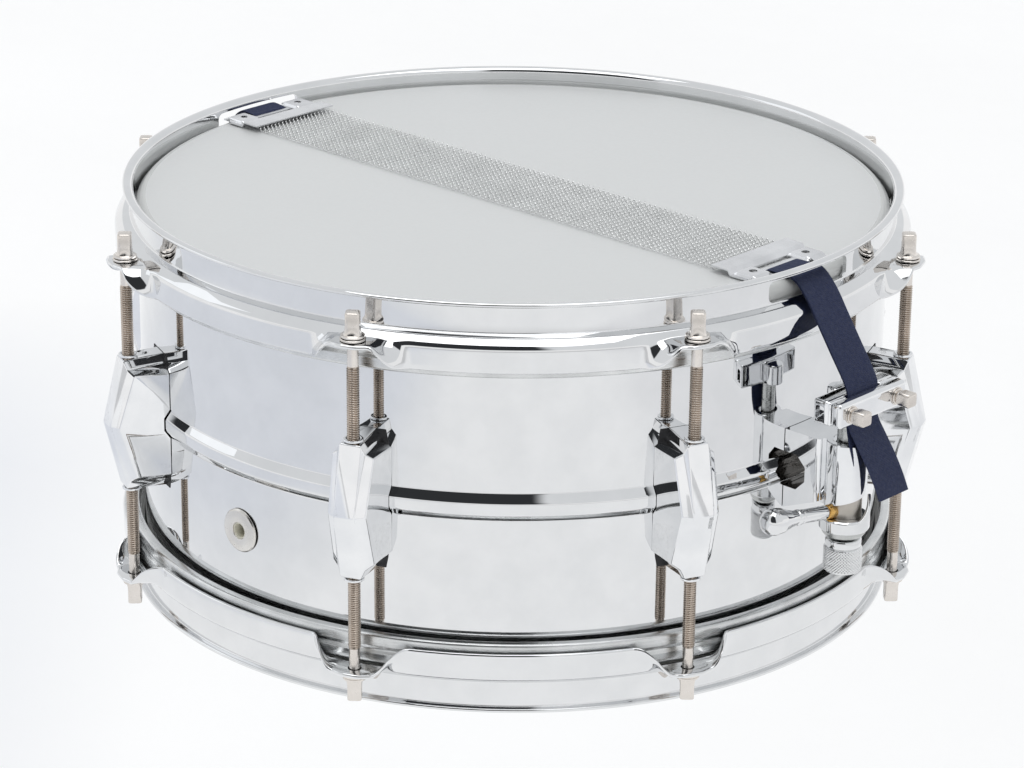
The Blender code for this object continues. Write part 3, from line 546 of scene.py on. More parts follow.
def build_floor():
    """A wide pale disc that glows with painted light, white round the drum, with a dimmer bluer zone at its
    left, a greyer one at its right and less glow towards the camera, all painted shade.
    """
    rings = [[polar(radius, TAU * i / 96, FLOOR_LEVEL) for i in range(96)] for radius in FLOOR_RADII]
    nodes, shader = material("studio_floor")
    across, ahead = nodes.along(ACROSS), nodes.along(AHEAD)
    sideways = nodes.ramp(nodes.spread(across, 0.0, 1.0, -1.5, 1.5), (0.167, PAINTED_LIGHT_WHITE), (0.267, PAINTED_SHADE_BLUE),
                          (0.397, PAINTED_SHADE_BLUE), (0.42, PAINTED_SHADE_EDGE), (0.447, PAINTED_LIGHT_WHITE), (0.587, PAINTED_LIGHT_WHITE),
                          (0.62, PAINTED_SHADE_GREY), (0.733, PAINTED_SHADE_GREY), (0.833, PAINTED_LIGHT_WHITE))
    near = nodes.math("MULTIPLY", nodes.spread(ahead, 0.0, 1.0, -0.35, -0.1),
                      nodes.spread(ahead, 1.0, 0.0, 0.9, 1.5))
    front = nodes.mix(near, (*PAINTED_LIGHT_WHITE, 1.0), sideways)
    painted_light_glow = nodes.add("ShaderNodeVectorMath", (0, front), ("Scale", nodes.spread(ahead, 1.0, 0.7, 0.75, 1.1)),
                     operation="SCALE").outputs["Vector"]
    nodes.feed(shader, Emission_Color=painted_light_glow, Emission_Strength=1.0, Specular_IOR_Level=0.1,
               Base_Color=nodes.ramp(nodes.noise(2.0, 3.0),
                                     (0.3, (0.44, 0.445, 0.45)), (0.7, (0.46, 0.465, 0.47))),
               Roughness=nodes.spread(nodes.noise(40, 3.0), 0.75, 0.9))
    mesh = stacked(rings)
    mesh.materials.append(nodes.owner)
    shown("studio_floor", mesh)


# ---------------------------------------------------------------- shell and vent

SHELL_RADIUS = 176.0
SHELL_HALF = 0.6
SHELL_EDGE = 8.45                  # from a lip of the drum down to the shell's own edge
EDGE_FLANGE = 2.2
BEAD_HALF = 6.3
BEAD_FLAT = 2.4
BEAD_DEPTH = 2.6
BED_DEPTH = 1.2                    # the snare beds, filed into the upper edge
BED_HALF_ANGLE = math.radians(28)
VENT_CELLS = 3                     # cells of the shell's grid to each side of the vent's middle
VENT_REACH = 9.0                   # radius of the hole under the eyelet's flanges
SHELL_SEGMENTS = 256
CELL = TAU * SHELL_RADIUS / SHELL_SEGMENTS


def shell_rows(side):
    """One face of the sheet from top to bottom as (radius, height); side is +1 outside and -1 inside."""
    upper = [(SHELL_RADIUS - EDGE_FLANGE, MID - SHELL_EDGE), (SHELL_RADIUS, MID - SHELL_EDGE - EDGE_FLANGE),
             (SHELL_RADIUS, BEAD_HALF), (SHELL_RADIUS + BEAD_DEPTH, BEAD_FLAT)]
    line = fillet([(r, MID + z) for r, z in upper] + [(r, MID - z) for r, z in reversed(upper)],
                  (2.0, 2.4, 2.4, 2.4, 2.4, 2.0), 6)
    step = units(np.gradient(line, axis=0))
    line = line + SHELL_HALF * side * np.stack([-step[:, 1], step[:, 0]], 1)
    extra = [VENT_HEIGHT + k * CELL for k in range(-VENT_CELLS, VENT_CELLS + 1)]
    rows = [tuple(p) for p in line] + [(SHELL_RADIUS + SHELL_HALF * side, z) for z in extra]
    return sorted(rows, key=lambda p: -p[1])


def bed_drop(angle):
    """How far the snare beds are filed down at an angle round the edge."""
    off = abs(math.atan2(abs(math.sin(angle)), abs(math.cos(angle))))
    return BED_DEPTH * 0.5 * (1 + math.cos(math.pi * off / BED_HALF_ANGLE)) if off < BED_HALF_ANGLE else 0.0


def build_shell():
    """Both faces of the sheet as grids, joined at the edges and round the vent's hole."""
    points, faces, holes, edges = [], [], [], []
    vent_column = int(round(0.75 * SHELL_SEGMENTS))
    for side in (1, -1):
        rows = shell_rows(side)
        start, count = len(points), len(rows)
        for i in range(SHELL_SEGMENTS):
            angle = TAU * i / SHELL_SEGMENTS
            for r, z in rows:
                drop = bed_drop(angle) if z > HEIGHT - SHELL_EDGE - 2.0 else 0.0
                points.append(polar(r, angle, z - drop))
        heights = [z for r, z in rows]
        top = int(np.argmin(np.abs(np.array(heights) - (VENT_HEIGHT + VENT_CELLS * CELL))))
        bottom = top + 2 * VENT_CELLS
        first, last = vent_column - VENT_CELLS, vent_column + VENT_CELLS
        for a, b, c, d in grid_faces(SHELL_SEGMENTS, count, True, False):
            column, row = divmod(a, count)
            if not (first <= column < last and top <= row < bottom):
                faces.append([start + a, start + b, start + c, start + d])
        border = [(first + k, top) for k in range(2 * VENT_CELLS)]
        border += [(last, top + k) for k in range(2 * VENT_CELLS)]
        border += [(last - k, bottom) for k in range(2 * VENT_CELLS)]
        border += [(first, bottom - k) for k in range(2 * VENT_CELLS)]
        ring = [start + column * count + row for column, row in border]
        for part in (0.34, 0.67, 1.0):
            inner = []
            for column, row in border:
                across = (column - vent_column) * CELL
                rise = heights[row] - VENT_HEIGHT
                far = math.hypot(across, rise)
                reach = far + (VENT_REACH - far) * part
                inner.append(len(points))
                points.append(polar(SHELL_RADIUS + SHELL_HALF * side,
                                    1.5 * math.pi + across / far * reach / SHELL_RADIUS,
                                    VENT_HEIGHT + rise / far * reach))
            faces += joined(ring, inner)
            ring = inner
        holes.append(ring)
        edges.append([[start + i * count + row for i in range(SHELL_SEGMENTS)] for row in (0, count - 1)])
    faces += joined(*holes)
    for outer, inner in zip(*edges):
        faces += joined(outer, inner)
    place("shell_sheet", mesh_from(points, faces), CHROME, "drum", smooth=40, node="shell")


def build_vent():
    """A turned eyelet through the shell, with a pale sleeve in its bore that is painted light: it stands for
    the lit inside of the drum seen through the vent.
    """
    eyelet = loop([(3.9, 178.15), (7.0, 178.25), (9.6, 177.95), (10.3, 177.3), (10.3, 176.95), (8.6, 176.95),
                   (8.6, 174.5), (10.0, 174.5), (10.0, 173.6), (3.9, 173.6)],
                  (0.35, 6.0, 0.8, 0.2, 0.1, 0.1, 0.1, 0.3, 0.3, 0.3))
    # The pale sleeve is painted light for the lit inside of the drum.
    painted_light_sleeve = loop([(3.35, 177.7), (3.84, 177.7), (3.84, 170.8), (3.35, 170.8)], (0.15, 0.1, 0.1, 0.15), 2)
    for name, profile, segments, finish, node in (("vent_eyelet", eyelet, 72, EYELET, "vent_grommet"),
                                                  ("vent_bore_painted_light", painted_light_sleeve, 48, PAINTED_INSIDE_LIGHT, None)):
        mesh = moved(turned(profile, segments), (0, 0, VENT_HEIGHT), math.pi / 2, "X")
        place(name, mesh, finish, "drum", node=node)


# ---------------------------------------------------------------- heads and hoops

def side_height(depth, snare_side):
    """Height of a point at a depth below the nearer lip."""
    return HEIGHT - depth if snare_side else depth


FILM_HALF = 0.15


def build_head(prefix, snare_side, finish):
    """A film over the edge and tucked under the flesh hoop, its innermost ring drawn together to a point."""
    start, depth, steps = 0.4, 7.55, 12
    middle = fillet([(start, depth), (174.2, depth), (177.05, 10.25), (177.05, 24.0), (178.6, 25.6)],
                    (3.0, 2.4, 1.2), 8)
    inner = [(start + (171.0 - start) * k / steps, depth) for k in range(steps)]
    outline = thicken(np.concatenate([inner, middle[1:]]), FILM_HALF, 2)
    outline[:, 1] = side_height(outline[:, 1], snare_side)
    mesh = turned(outline[outline[:, 0] > 0.3], 192)
    work = bmesh.new()
    work.from_mesh(mesh)
    for vertex in work.verts:
        if vertex.co.xy.length < 0.7 * MM:
            vertex.co.xy = (0.0, 0.0)
    bmesh.ops.remove_doubles(work, verts=work.verts, dist=0.01 * MM)
    place(f"{prefix}_film", written(work, mesh), finish, "drum", smooth=40, node=f"{prefix}_head")


def build_flesh_hoop(prefix, snare_side):
    """A rolled channel: rounded edges and a shallow groove along its outer face."""
    outline = loop([(179.2, 19.2), (183.9, 19.2), (183.9, 24.6), (183.2, 26.4), (183.9, 28.2), (183.9, 33.6),
                    (179.2, 33.6)], (1.2, 1.6, 1.0, 1.4, 1.0, 1.6, 1.2), 5)
    outline[:, 1] = side_height(outline[:, 1], snare_side)
    place(f"{prefix}_flesh_hoop_channel", turned(outline, 240), ALUMINIUM, "drum", smooth=60,
          node=f"{prefix}_flesh_hoop")


EAR_HALF = 8.0                     # flat part of an ear to each side of its rod
EAR_RAMP = 16.0                    # the length in which the skirt turns from level to upright
BEND = (186.2, 19.0)               # radius and depth of the bend between the hoop's shelf and its skirt
SKIRT_LENGTH = 10.4
EAR_LENGTH = 12.2
HOOP_HALF = 1.0
EAR_BORE = 3.1
GATE_HALF = 27.0                   # half the width of the snare gates


def hoop_line(along):
    """The sheet's middle line as (radius, depth), at an arc length from the middle of the nearest ear."""
    turn = math.radians(90) * eased((abs(along) - EAR_HALF) / EAR_RAMP)
    reach = EAR_LENGTH + (SKIRT_LENGTH - EAR_LENGTH) * eased((abs(along) - 3.0) / 6.0)
    edge = (BEND[0] + reach * math.cos(turn), BEND[1] + reach * math.sin(turn))
    line = fillet([(182.2, 1.0), (179.0, 1.0), (179.0, 15.0), (183.0, 16.2), BEND, edge],
                  (1.7, 1.7, 2.4, 3.0), 5)
    skirt = [line[-2] + (line[-1] - line[-2]) * part for part in (0.25, 0.5, 0.75, 1.0)]
    return np.concatenate([line[:-1], skirt])


def hoop_stations():
    """Arc lengths from the ear's middle over one lug's share of the hoop, close together at the ear."""
    half = BEND[0] * math.pi / LUG_COUNT
    near = np.arange(-28.0, 28.01, 0.8)
    side = np.linspace(28.0, half, 32)[1:]
    return np.concatenate([-side[::-1][1:], near, side])


def build_counter_hoop(prefix, snare_side):
    """The pressed sheet all round, with the rods' holes and, on the snare side, the two snare gates."""
    points = []
    for ear in LUG_ANGLES:
        for along in hoop_stations():
            outline = thicken(hoop_line(along), HOOP_HALF, 4)
            x, y, z = polar(outline[:, 0], ear + along / BEND[0], side_height(outline[:, 1], snare_side))
            points.append(np.stack([x, y, z], 1))
    mesh = mesh_from(np.concatenate(points), grid_faces(len(points), len(points[0]), True, True))
    height = side_height(BEND[1], snare_side)
    tools = [bar(polar(ROD_CIRCLE, a, height - 4), polar(ROD_CIRCLE, a, height + 4), EAR_BORE, 24, 0.13)
             for a in LUG_ANGLES]
    if snare_side:
        for near, far in ((-182.99, -170.0), (170.0, 182.99)):
            tools.append(block((near, -GATE_HALF, 178.4), (far, GATE_HALF, 188.4), 3.0, 6, along=0))
    place(f"{prefix}_counter_hoop_sheet", combined(mesh, tools), CHROME, "drum", smooth=50,
          node=f"{prefix}_counter_hoop")


# ---------------------------------------------------------------- lugs

LUG_BACK = 176.95
SEAT_RADIUS = 176.86               # the castings' backs follow the shell
LUG_BORE = 3.15


def lug_casting():
    """The faceted casting about the drum's axis, facing +X and centred on its mid height."""
    back = LUG_BACK - 2.5
    corners = {"face_mid": (203.4, 4.8, 0.0), "face_top": (195.9, 4.8, 31.4), "panel_mid": (199.9, 8.9, 0.0),
               "panel_back": (back, 11.5, 24.6), "back_mid": (back, 11.5, 0.0)}

    def flush(names, x=None, y=None, z=None):
        """The point in the plane of three corners that has the two given coordinates."""
        first, second, third = (np.array(corners[name]) for name in names)
        normal = np.cross(second - first, third - first)
        point = [x, y, z]
        free = point.index(None)
        known = sum(normal[k] * (point[k] - first[k]) for k in range(3) if k != free)
        point[free] = first[free] - known / normal[free]
        return tuple(point)

    corners["panel_top"] = flush(("panel_mid", "back_mid", "panel_back"), x=192.4, z=24.9)
    corners["rim_top"] = flush(("face_mid", "panel_mid", "panel_top"), y=6.5, z=27.2)
    corners["rim_back"] = flush(("rim_top", "panel_top", "panel_back"), x=back, z=28.6)
    corners["back_top"] = flush(("face_top", "rim_top", "rim_back"), x=back, z=32.8)
    quarter = [("face_mid", "rim_top", "face_top"), ("face_top", "rim_top", "rim_back", "back_top"),
               ("face_mid", "panel_mid", "panel_top", "rim_top"),
               ("rim_top", "panel_top", "panel_back", "rim_back"),
               ("panel_mid", "back_mid", "panel_back", "panel_top")]
    points, faces = [], []

    def vertex(name, flip_y, flip_z):
        x, y, z = corners[name]
        points.append((x, -y if flip_y else y, -z if flip_z else z))
        return len(points) - 1

    for flip_z in (False, True):
        for flip_y in (False, True):
            faces += [[vertex(name, flip_y, flip_z) for name in face] for face in quarter]
        for ring in (("face_mid", "face_top"), ("face_top", "back_top")):
            faces.append([vertex(ring[0], False, flip_z), vertex(ring[1], False, flip_z),
                          vertex(ring[1], True, flip_z), vertex(ring[0], True, flip_z)])
    rim = ("back_mid", "panel_back", "rim_back", "back_top")
    faces.append([vertex(n, False, False) for n in rim] + [vertex(n, True, False) for n in reversed(rim)]
                 + [vertex(n, True, True) for n in rim[1:]]
                 + [vertex(n, False, True) for n in reversed(rim[1:])])
    mesh = bevelled(mesh_from(points, faces, weld=0.01), 0.5, 3, 12)
    bore = bar((ROD_CIRCLE, 0, -40), (ROD_CIRCLE, 0, 40), LUG_BORE, 32, 0.05)
    upper = [(160.0, 40.0), (SEAT_RADIUS, 40.0), (SEAT_RADIUS, 7.1), (SEAT_RADIUS + BEAD_DEPTH + 0.15, 3.0)]
    seat = upper + [(radius, -z) for radius, z in reversed(upper)]
    return faceted(combined(mesh, [bore, turned(seat, 480)]))


def lug_gasket():
    """A thin pad between the casting and the shell, as two halves above and below the bead."""
    meshes = []
    for side in (1, -1):
        rows = []
        for z in np.linspace(7.9, 32.6, 6):
            half = 10.1 if z < 25.2 else 10.1 - (z - 25.2) * (1.5 / 7.8)
            rows.append([(math.sqrt(radius ** 2 - (y * half) ** 2), y * half, side * z)
                         for radius, way in ((SEAT_RADIUS - 0.02, 1), (SHELL_RADIUS + SHELL_HALF + 0.03, -1))
                         for y in np.linspace(-way, way, 9)])
        meshes.append(stacked(rows))
    return combined(meshes[0], [meshes[1]], "UNION")


def build_lugs():
    casting, gasket = lug_casting(), lug_gasket()
    collar = turned(loop([(3.0, 0.0), (4.5, 0.0), (4.5, 1.0), (3.0, 1.0)], (0.1, 0.1, 0.35, 0.25), 3), 40)
    for number, angle in enumerate(LUG_ANGLES, start=1):
        place(f"lug_{number}_casting", casting, CAST_CHROME_PAINTED_BRIGHTER, "drum", (0, 0, MID), angle, 30, f"lug_{number}")
        place(f"lug_{number}_gasket", gasket, GASKET, "drum", (0, 0, MID), angle)
        for end, height in (("upper", MID + 32.2), ("lower", MID - 33.2)):
            spot = polar(ROD_CIRCLE, angle, height)
            place(f"lug_{number}_{end}_nut", collar, CAST_CHROME_PAINTED_BRIGHTER, "drum", spot, angle)


# ---------------------------------------------------------------- rods and key screws

KEY_HALF = 3.175                   # half a drum key's square
KEY_ROUND = 1.1
RING = [math.radians(quarter * 90 + step) for quarter in range(4)
        for step in (-24, -8, 8, 24, 33, 39, 45, 51, 57)]
PITCH = 1.06
ROD_RADIUS = 2.5
THREAD_FROM, THREAD_TO = 29.8, 67.0
THREAD_DEPTH = 0.55
KEY_TURN = math.radians(-46.9)     # the way a flat of each key head faces


def key_radius(angle, half):
    """Radius of a square with rounded corners at an angle from the middle of a flat."""
    turn = (angle + math.pi / 4) % (math.pi / 2) - math.pi / 4
    core = half - KEY_ROUND
    if abs(turn) < math.atan2(core, half):
        return half / math.cos(turn)
    reach = core * math.sqrt(2)
    off = abs(turn) - math.pi / 4
    return reach * math.cos(off) + math.sqrt(max(0.0, KEY_ROUND ** 2 - (reach * math.sin(off)) ** 2))


def key_ring(height, half, radius=0.0, roundness=0.0):
    """A key head's outline, part of the way to a circle."""
    return [polar(key_radius(a, half) * (1 - roundness) + radius * roundness, a, height) for a in RING]


def round_ring(height, radius):
    return [polar(radius, a, height) for a in RING]


def key_head(top, body, foot, flange_radius, flange_end):
    """Rings from the top of a square key head down to the underside of its round flange."""
    rings = [key_ring(top, KEY_HALF - 0.75), key_ring(top + 0.12, KEY_HALF - 0.42),
             key_ring(top + 0.35, KEY_HALF - 0.12), key_ring(top + 0.7, KEY_HALF), key_ring(body, KEY_HALF)]
    neck = flange_radius - 0.9
    for part in np.linspace(0.1, 1.0, 8):
        depth = body + (foot - body) * (1 - (1 - part) ** 1.6)
        rings.append(key_ring(depth, KEY_HALF, neck, part ** 1.5))
    rings += [round_ring(foot + 0.1, flange_radius - 0.3), round_ring(foot + 0.3, flange_radius),
              round_ring(flange_end - 0.25, flange_radius), round_ring(flange_end, flange_radius - 0.25)]
    return rings


def rod_rings():
    """A tension rod as rings against depth below the nearest lip; the thread is a real helix."""
    rings = key_head(5.0, 11.0, 15.1, 5.3, 16.4)
    rings += [round_ring(16.42, ROD_RADIUS), round_ring(THREAD_FROM - 0.2, ROD_RADIUS)]
    for depth in np.arange(THREAD_FROM, THREAD_TO, PITCH / 6):
        grow = min(1.0, (depth - THREAD_FROM) / 0.8)
        ring = []
        for angle in RING:
            phase = (depth / PITCH - angle / TAU) % 1.0
            crest = min(1.0, 1.4 * (1 - abs(2 * phase - 1)))
            ring.append(polar(ROD_RADIUS + grow * (THREAD_DEPTH * crest - 0.24), angle, depth))
        rings.append(ring)
    rings += [round_ring(67.4, 2.6), round_ring(85.0, 2.6), round_ring(86.0, 1.9)]
    return np.array(rings)


def washer_rings():
    return np.array([round_ring(16.62, 2.9), round_ring(16.62, 5.5), round_ring(16.8, 5.7),
                     round_ring(17.5, 5.7), round_ring(17.68, 5.5), round_ring(17.68, 2.9)])


def build_rods():
    for prefix, snare_side in (("snare_side", True), ("batter_side", False)):
        rings, washer = rod_rings(), washer_rings()
        for part in (rings, washer):
            part[:, :, 2] = side_height(part[:, :, 2], snare_side)
        edge = side_height(THREAD_FROM - 0.1, snare_side)
        rod = painted(stacked(rings), NICKEL, THREAD, lambda x, y, z: (z < edge) == snare_side)
        smoothed(rod, 32)
        disc = mesh_from(washer.reshape(-1, 3), grid_faces(len(washer), len(RING), True, True))
        for number, angle in enumerate(LUG_ANGLES, start=1):
            body = f"{prefix}_rod_{number}"
            spot = polar(ROD_CIRCLE, angle, 0)
            key_turn = KEY_TURN + math.radians(3 * math.sin(number * 2.3 + snare_side))
            place(f"{prefix}_tension_rod_{number}", rod, NICKEL, body, spot, key_turn, node=body)
            place(f"{prefix}_washer_{number}", disc, NICKEL, body, spot, angle)


# ---------------------------------------------------------------- strainer

CAM_AT_REST = 85.4                 # height of the tube's helical edge over the lever at rest
CAM_RISE = 2.6                     # its rise in mm for each radian
COLLAR_UPPER = 79.0
RIM_FROM, RIM_PEAK, RIM_TO = (math.radians(a) for a in (-30, 43, 60))
RIM_RISE = 10.3
ARM_ROOT = 81.5                    # where the arm's line meets the axis, and how far it leans
ARM_TILT = math.radians(7)
HOUSING_FRONT, HOUSING_HALF = 196.0, 9.8
TUBE_TOP, TUBE_RADIUS, TUBE_BORE, GUIDE_BORE = 115.0, 9.5, 8.0, 5.2
TUNNEL_X, TUNNEL_RADIUS = 180.0, 9.0


def cam_height(angle):
    held = min(max(angle, math.radians(-135)), math.radians(15))
    return CAM_AT_REST + CAM_RISE * (held - LEVER_REST)


def on_axis(mesh):
    """A mesh drawn about Z, moved to the lever's axis."""
    return moved(mesh, (AXIS_X, 0, 0))


def cam_cutter():
    """The space under the tube's helical edge."""
    turns = [-math.pi + TAU * i / 96 + 0.01 for i in range(96)]
    return on_axis(stacked([[polar(radius, a, base or cam_height(a)) for a in turns]
                            for radius, base in ((12.2, 60.0), (12.2, None), (0.5, None))]))


def build_housing():
    """A foot cut off at a slant, with a tunnel over the bead, and the tube that carries lever and piston."""
    inside, front, half = LUG_BACK - 3.0, HOUSING_FRONT, HOUSING_HALF
    width = loop([(inside, -half), (front, -half), (front, half), (inside, half)], (0.3, 2.2, 2.2, 0.3), 6)
    prism = stacked([[(x, y, z) for x, y in width] for z in (70.0, TUBE_TOP)])
    back, ahead = LUG_BACK - 5, front + 5
    wedge = stacked([[(x, y, z) for x, z in [(back, 60.0), (ahead, 60.0), (ahead, 87.6), (back, 75.4)]]
                     for y in (-15, 15)])
    filler = block((front - 3, -6.5, 84.0), (AXIS_X, 6.5, TUBE_TOP))
    tube = fillet([(0.0, TUBE_TOP), (TUBE_RADIUS, TUBE_TOP), (TUBE_RADIUS, 80.0), (0.0, 80.0)], (0.7, 0.2), 5)
    body = combined(combined(prism, [wedge]), [filler, on_axis(turned(tube, 96, closed=False))], "UNION")
    tunnel = bar((TUNNEL_X, -20, MID), (TUNNEL_X, 20, MID), TUNNEL_RADIUS, 8, math.radians(22.5))
    bore = bar((AXIS_X, 0, 60), (AXIS_X, 0, 104), TUBE_BORE, 64, 0.02)
    guide = bar((AXIS_X, 0, 90), (AXIS_X, 0, 125), GUIDE_BORE, 48, 0.03)
    recess = bar((AXIS_X, 0, TUBE_TOP - 1.4), (AXIS_X, 0, 118), 6.6, 48, 0.04)
    seat = bar((0, 0, 50), (0, 0, 130), SEAT_RADIUS, 720, 0.002)
    body = combined(body, [cam_cutter(), tunnel, bore, guide, recess, seat])

    # The inner faces of the tunnel and of the bore are painted near black: painted shade.
    def painted_shade_inside(x, y, z):
        in_tunnel = math.hypot(x - TUNNEL_X, z - MID) < TUNNEL_RADIUS + 0.1 and abs(y) < half - 0.35
        return in_tunnel or (math.hypot(x - AXIS_X, y) < TUBE_BORE + 0.1 and z < TUBE_TOP - 3)

    body = painted(faceted(bevelled(body, 0.3, 2, 50), 32), CAST_CHROME_PAINTED_BRIGHTER, PAINTED_SHADE_CASTING, painted_shade_inside)
    place("strainer_housing", body, CAST_CHROME_PAINTED_BRIGHTER, "drum", node="strainer_base")


def rim_height(angle):
    """Top of the collar's wall: a slow climb to its peak, then a quick drop."""
    if angle <= RIM_PEAK:
        part = (angle - RIM_FROM) / (RIM_PEAK - RIM_FROM)
    else:
        part = (RIM_TO - angle) / (RIM_TO - RIM_PEAK)
    part = max(0.0, part)
    return COLLAR_UPPER - 0.4 + RIM_RISE * part * part * (1.6 - 0.6 * part)


def collar_wall():
    """The raised part of the lever's collar, which runs along the tube's helical edge."""
    rings = []
    for angle in np.linspace(RIM_FROM, RIM_TO, 64):
        top = rim_height(angle)
        section = [(9.95, 77.0), (11.4, 77.0), (11.44, top - 0.5), (11.25, top - 0.1), (10.9, top),
                   (10.4, top), (10.1, top - 0.1), (9.95, top - 0.4)]
        rings.append([polar(radius, angle, z) for radius, z in section])
    return on_axis(stacked(rings))


def build_lever():
    """Sleeve and collar about the piston's axis, and an arm that ends in a teardrop."""
    sleeve = turned(loop([(5.2, 97.0), (7.6, 97.0), (7.6, 79.3), (5.2, 79.3)], (0.2, 0.4, 0.2, 0.2), 3), 72)
    place("lever_sleeve", on_axis(sleeve), SLEEVE, "lever", node="throw_off_lever")
    collar = loop([(5.2, 79.3), (10.6, 79.3), (11.5, 78.4), (11.5, 73.9), (11.2, 73.3), (8.6, 73.3),
                   (5.2, 73.3)], (0.2, 0.5, 0.6, 0.3, 0.2, 0.2, 0.2), 4)
    place("lever_collar", on_axis(turned(collar, 96)), CHROME, "lever")
    place("lever_collar_wall", collar_wall(), CHROME, "lever", smooth=50)
    foot = loop([(5.2, 73.25), (10.1, 73.25), (9.9, 71.4), (9.2, 70.2), (5.2, 70.0)],
                (0.2, 0.2, 0.6, 0.5, 0.2), 4)
    place("lever_collar_foot", on_axis(turned(foot, 96)), BRUSHED, "lever")
    arm = fillet([(0.0, 49.6), (3.4, 49.3), (5.6, 47.4), (6.2, 44.4), (5.7, 40.4), (4.1, 35.0), (3.1, 30.6),
                  (3.55, 30.0), (3.55, 28.6), (2.9, 28.0), (2.9, 27.2), (3.15, 26.6), (3.25, 11.6),
                  (0.0, 11.6)], (3.0, 3.0, 3.5, 5.0, 8.0, 1.0, 0.3, 0.3, 0.3, 0.2, 0.3, 20.0, 0.3), 4)
    root = fillet([(0.0, 11.7), (3.15, 11.7), (3.3, 9.4), (3.1, 6.6), (0.0, 6.6)], (0.5, 1.0, 0.3), 4)
    for name, profile, segments, finish in (("lever_arm", arm, 48, CHROME), ("lever_root", root, 36, BRASS)):
        mesh = moved(turned(profile, segments, closed=False), turn=math.pi / 2 - ARM_TILT, axis="Y")
        place(name, moved(mesh, (AXIS_X, 0, ARM_ROOT), LEVER_REST), finish, "lever")


def build_piston():
    """The rod that lifts the clamp: a groove near its top and a hollow lower end."""
    line = [(0.0, 128.7), (4.8, 128.7), (4.8, 121.2), (4.55, 121.0), (4.55, 120.6), (4.8, 120.4), (4.8, 71.0),
            (2.9, 71.0), (2.9, 100.0), (0.0, 100.0)]
    mesh = turned(fillet(line, (0.3, 0.1, 0.05, 0.05, 0.1, 0.3, 0.1, 0.1), 3), 64, closed=False)
    place("piston_rod", on_axis(mesh), BRUSHED, "clamp", node="piston")


def build_knob():
    """A knob with a diamond knurl and a polished neck."""
    around, foot, shoulder, radius, neck = 38, 53.0, 63.9, 8.45, 64.5
    turns = [TAU * i / (around * 6) for i in range(around * 6)]

    def level(*profile):
        return [[polar(r, a, z) for a in turns] for r, z in profile]

    rings = level((6.9, 52.5), (7.7, 52.55), (8.2, 52.75))
    for z in np.linspace(foot, shoulder, 51):
        v = (z - foot) / (TAU * radius / around)
        depth = 0.45 * max(0.0, min(1.0, (z - foot) / 0.5, (shoulder - z) / 0.5))
        ring = []
        for i, turn in enumerate(turns):
            crest = abs(math.cos(math.pi * (i / 6 + v))) * abs(math.cos(math.pi * (i / 6 - v)))
            ring.append(polar(radius - 0.12 + depth * crest, turn, z))
        rings.append(ring)
    rings += level((8.1, 64.15), (7.7, 64.3), (7.7, neck), (8.0, 64.6), (8.2, 64.9), (8.2, 67.6), (7.9, 68.2),
                   (7.4, 68.5), (2.5, 68.55), (2.5, 95.0))
    mesh = painted(stacked(rings), SATIN_CHROME, CHROME, lambda x, y, z: z > neck)
    place("adjust_knob_knurled", on_axis(smoothed(mesh, 40)), SATIN_CHROME, "knob", node="adjust_knob")


# ---------------------------------------------------------------- clamps

CLAMP_HALF = 23.3                  # half of the clamps' width
CLAMP_LOW = 129.0
CLAMP_HIGH = 140.5
SCREW_Y = 16.0                     # from the middle to each key screw
SCREW_Z = 134.75


def clamp_cuts():
    """Clearance bores for the screws and a pocket in each end of the block."""
    cuts = [bar((203.5, y, SCREW_Z), (221, y, SCREW_Z), 2.4, 32, 0.05) for y in (-SCREW_Y, SCREW_Y)]
    for side in (-1, 1):
        span = sorted((side * (CLAMP_HALF - 4.5), side * (CLAMP_HALF + 3)))
        lowest, highest = (203.4, span[0], CLAMP_LOW + 2.6), (208.0, span[1], CLAMP_HIGH - 2.8)
        cuts.append(block(lowest, highest, 0.7, 3, along=1))
    return cuts


def clamp_block_mesh():
    """The block behind the strap, with a lip at each end that meets the plate."""
    mesh = block((202.0, -CLAMP_HALF, CLAMP_LOW), (209.7, CLAMP_HALF, CLAMP_HIGH), 1.3, 4)
    lips = []
    for side in (-1, 1):
        near, far = sorted((side * 11.7, side * (CLAMP_HALF - 0.25)))
        lips.append(block((206.0, near, CLAMP_LOW + 0.25), (211.3, far, CLAMP_HIGH - 0.25), 0.9, 3))
    return combined(mesh, lips, "UNION")


def mirrored(mesh):
    """The butt end's copy of a part drawn for the strainer's side."""
    return moved(mesh, turn=math.pi)


def clamp_plate_mesh():
    plate = block((211.5, -CLAMP_HALF, CLAMP_LOW), (217.5, CLAMP_HALF, CLAMP_HIGH), 1.9, 5)
    return faceted(combined(plate, clamp_cuts()[:2]))


def clamp_screw_mesh():
    """A key screw along X with its head outwards."""
    rings = key_head(0.0, 5.2, 7.6, 3.7, 8.5)
    rings += [round_ring(8.52, 2.0), round_ring(21.4, 2.0), round_ring(22.0, 1.5)]
    return moved(stacked(rings), (226.5, 0, SCREW_Z), -math.pi / 2, "Y")


def clamp_washer_mesh():
    ring = loop([(2.3, 0.0), (4.1, 0.0), (4.1, 0.45), (2.3, 0.45)], (0.1, 0.15, 0.15, 0.1), 2)
    return moved(turned(ring, 40), (217.52, 0, SCREW_Z), math.pi / 2, "Y")


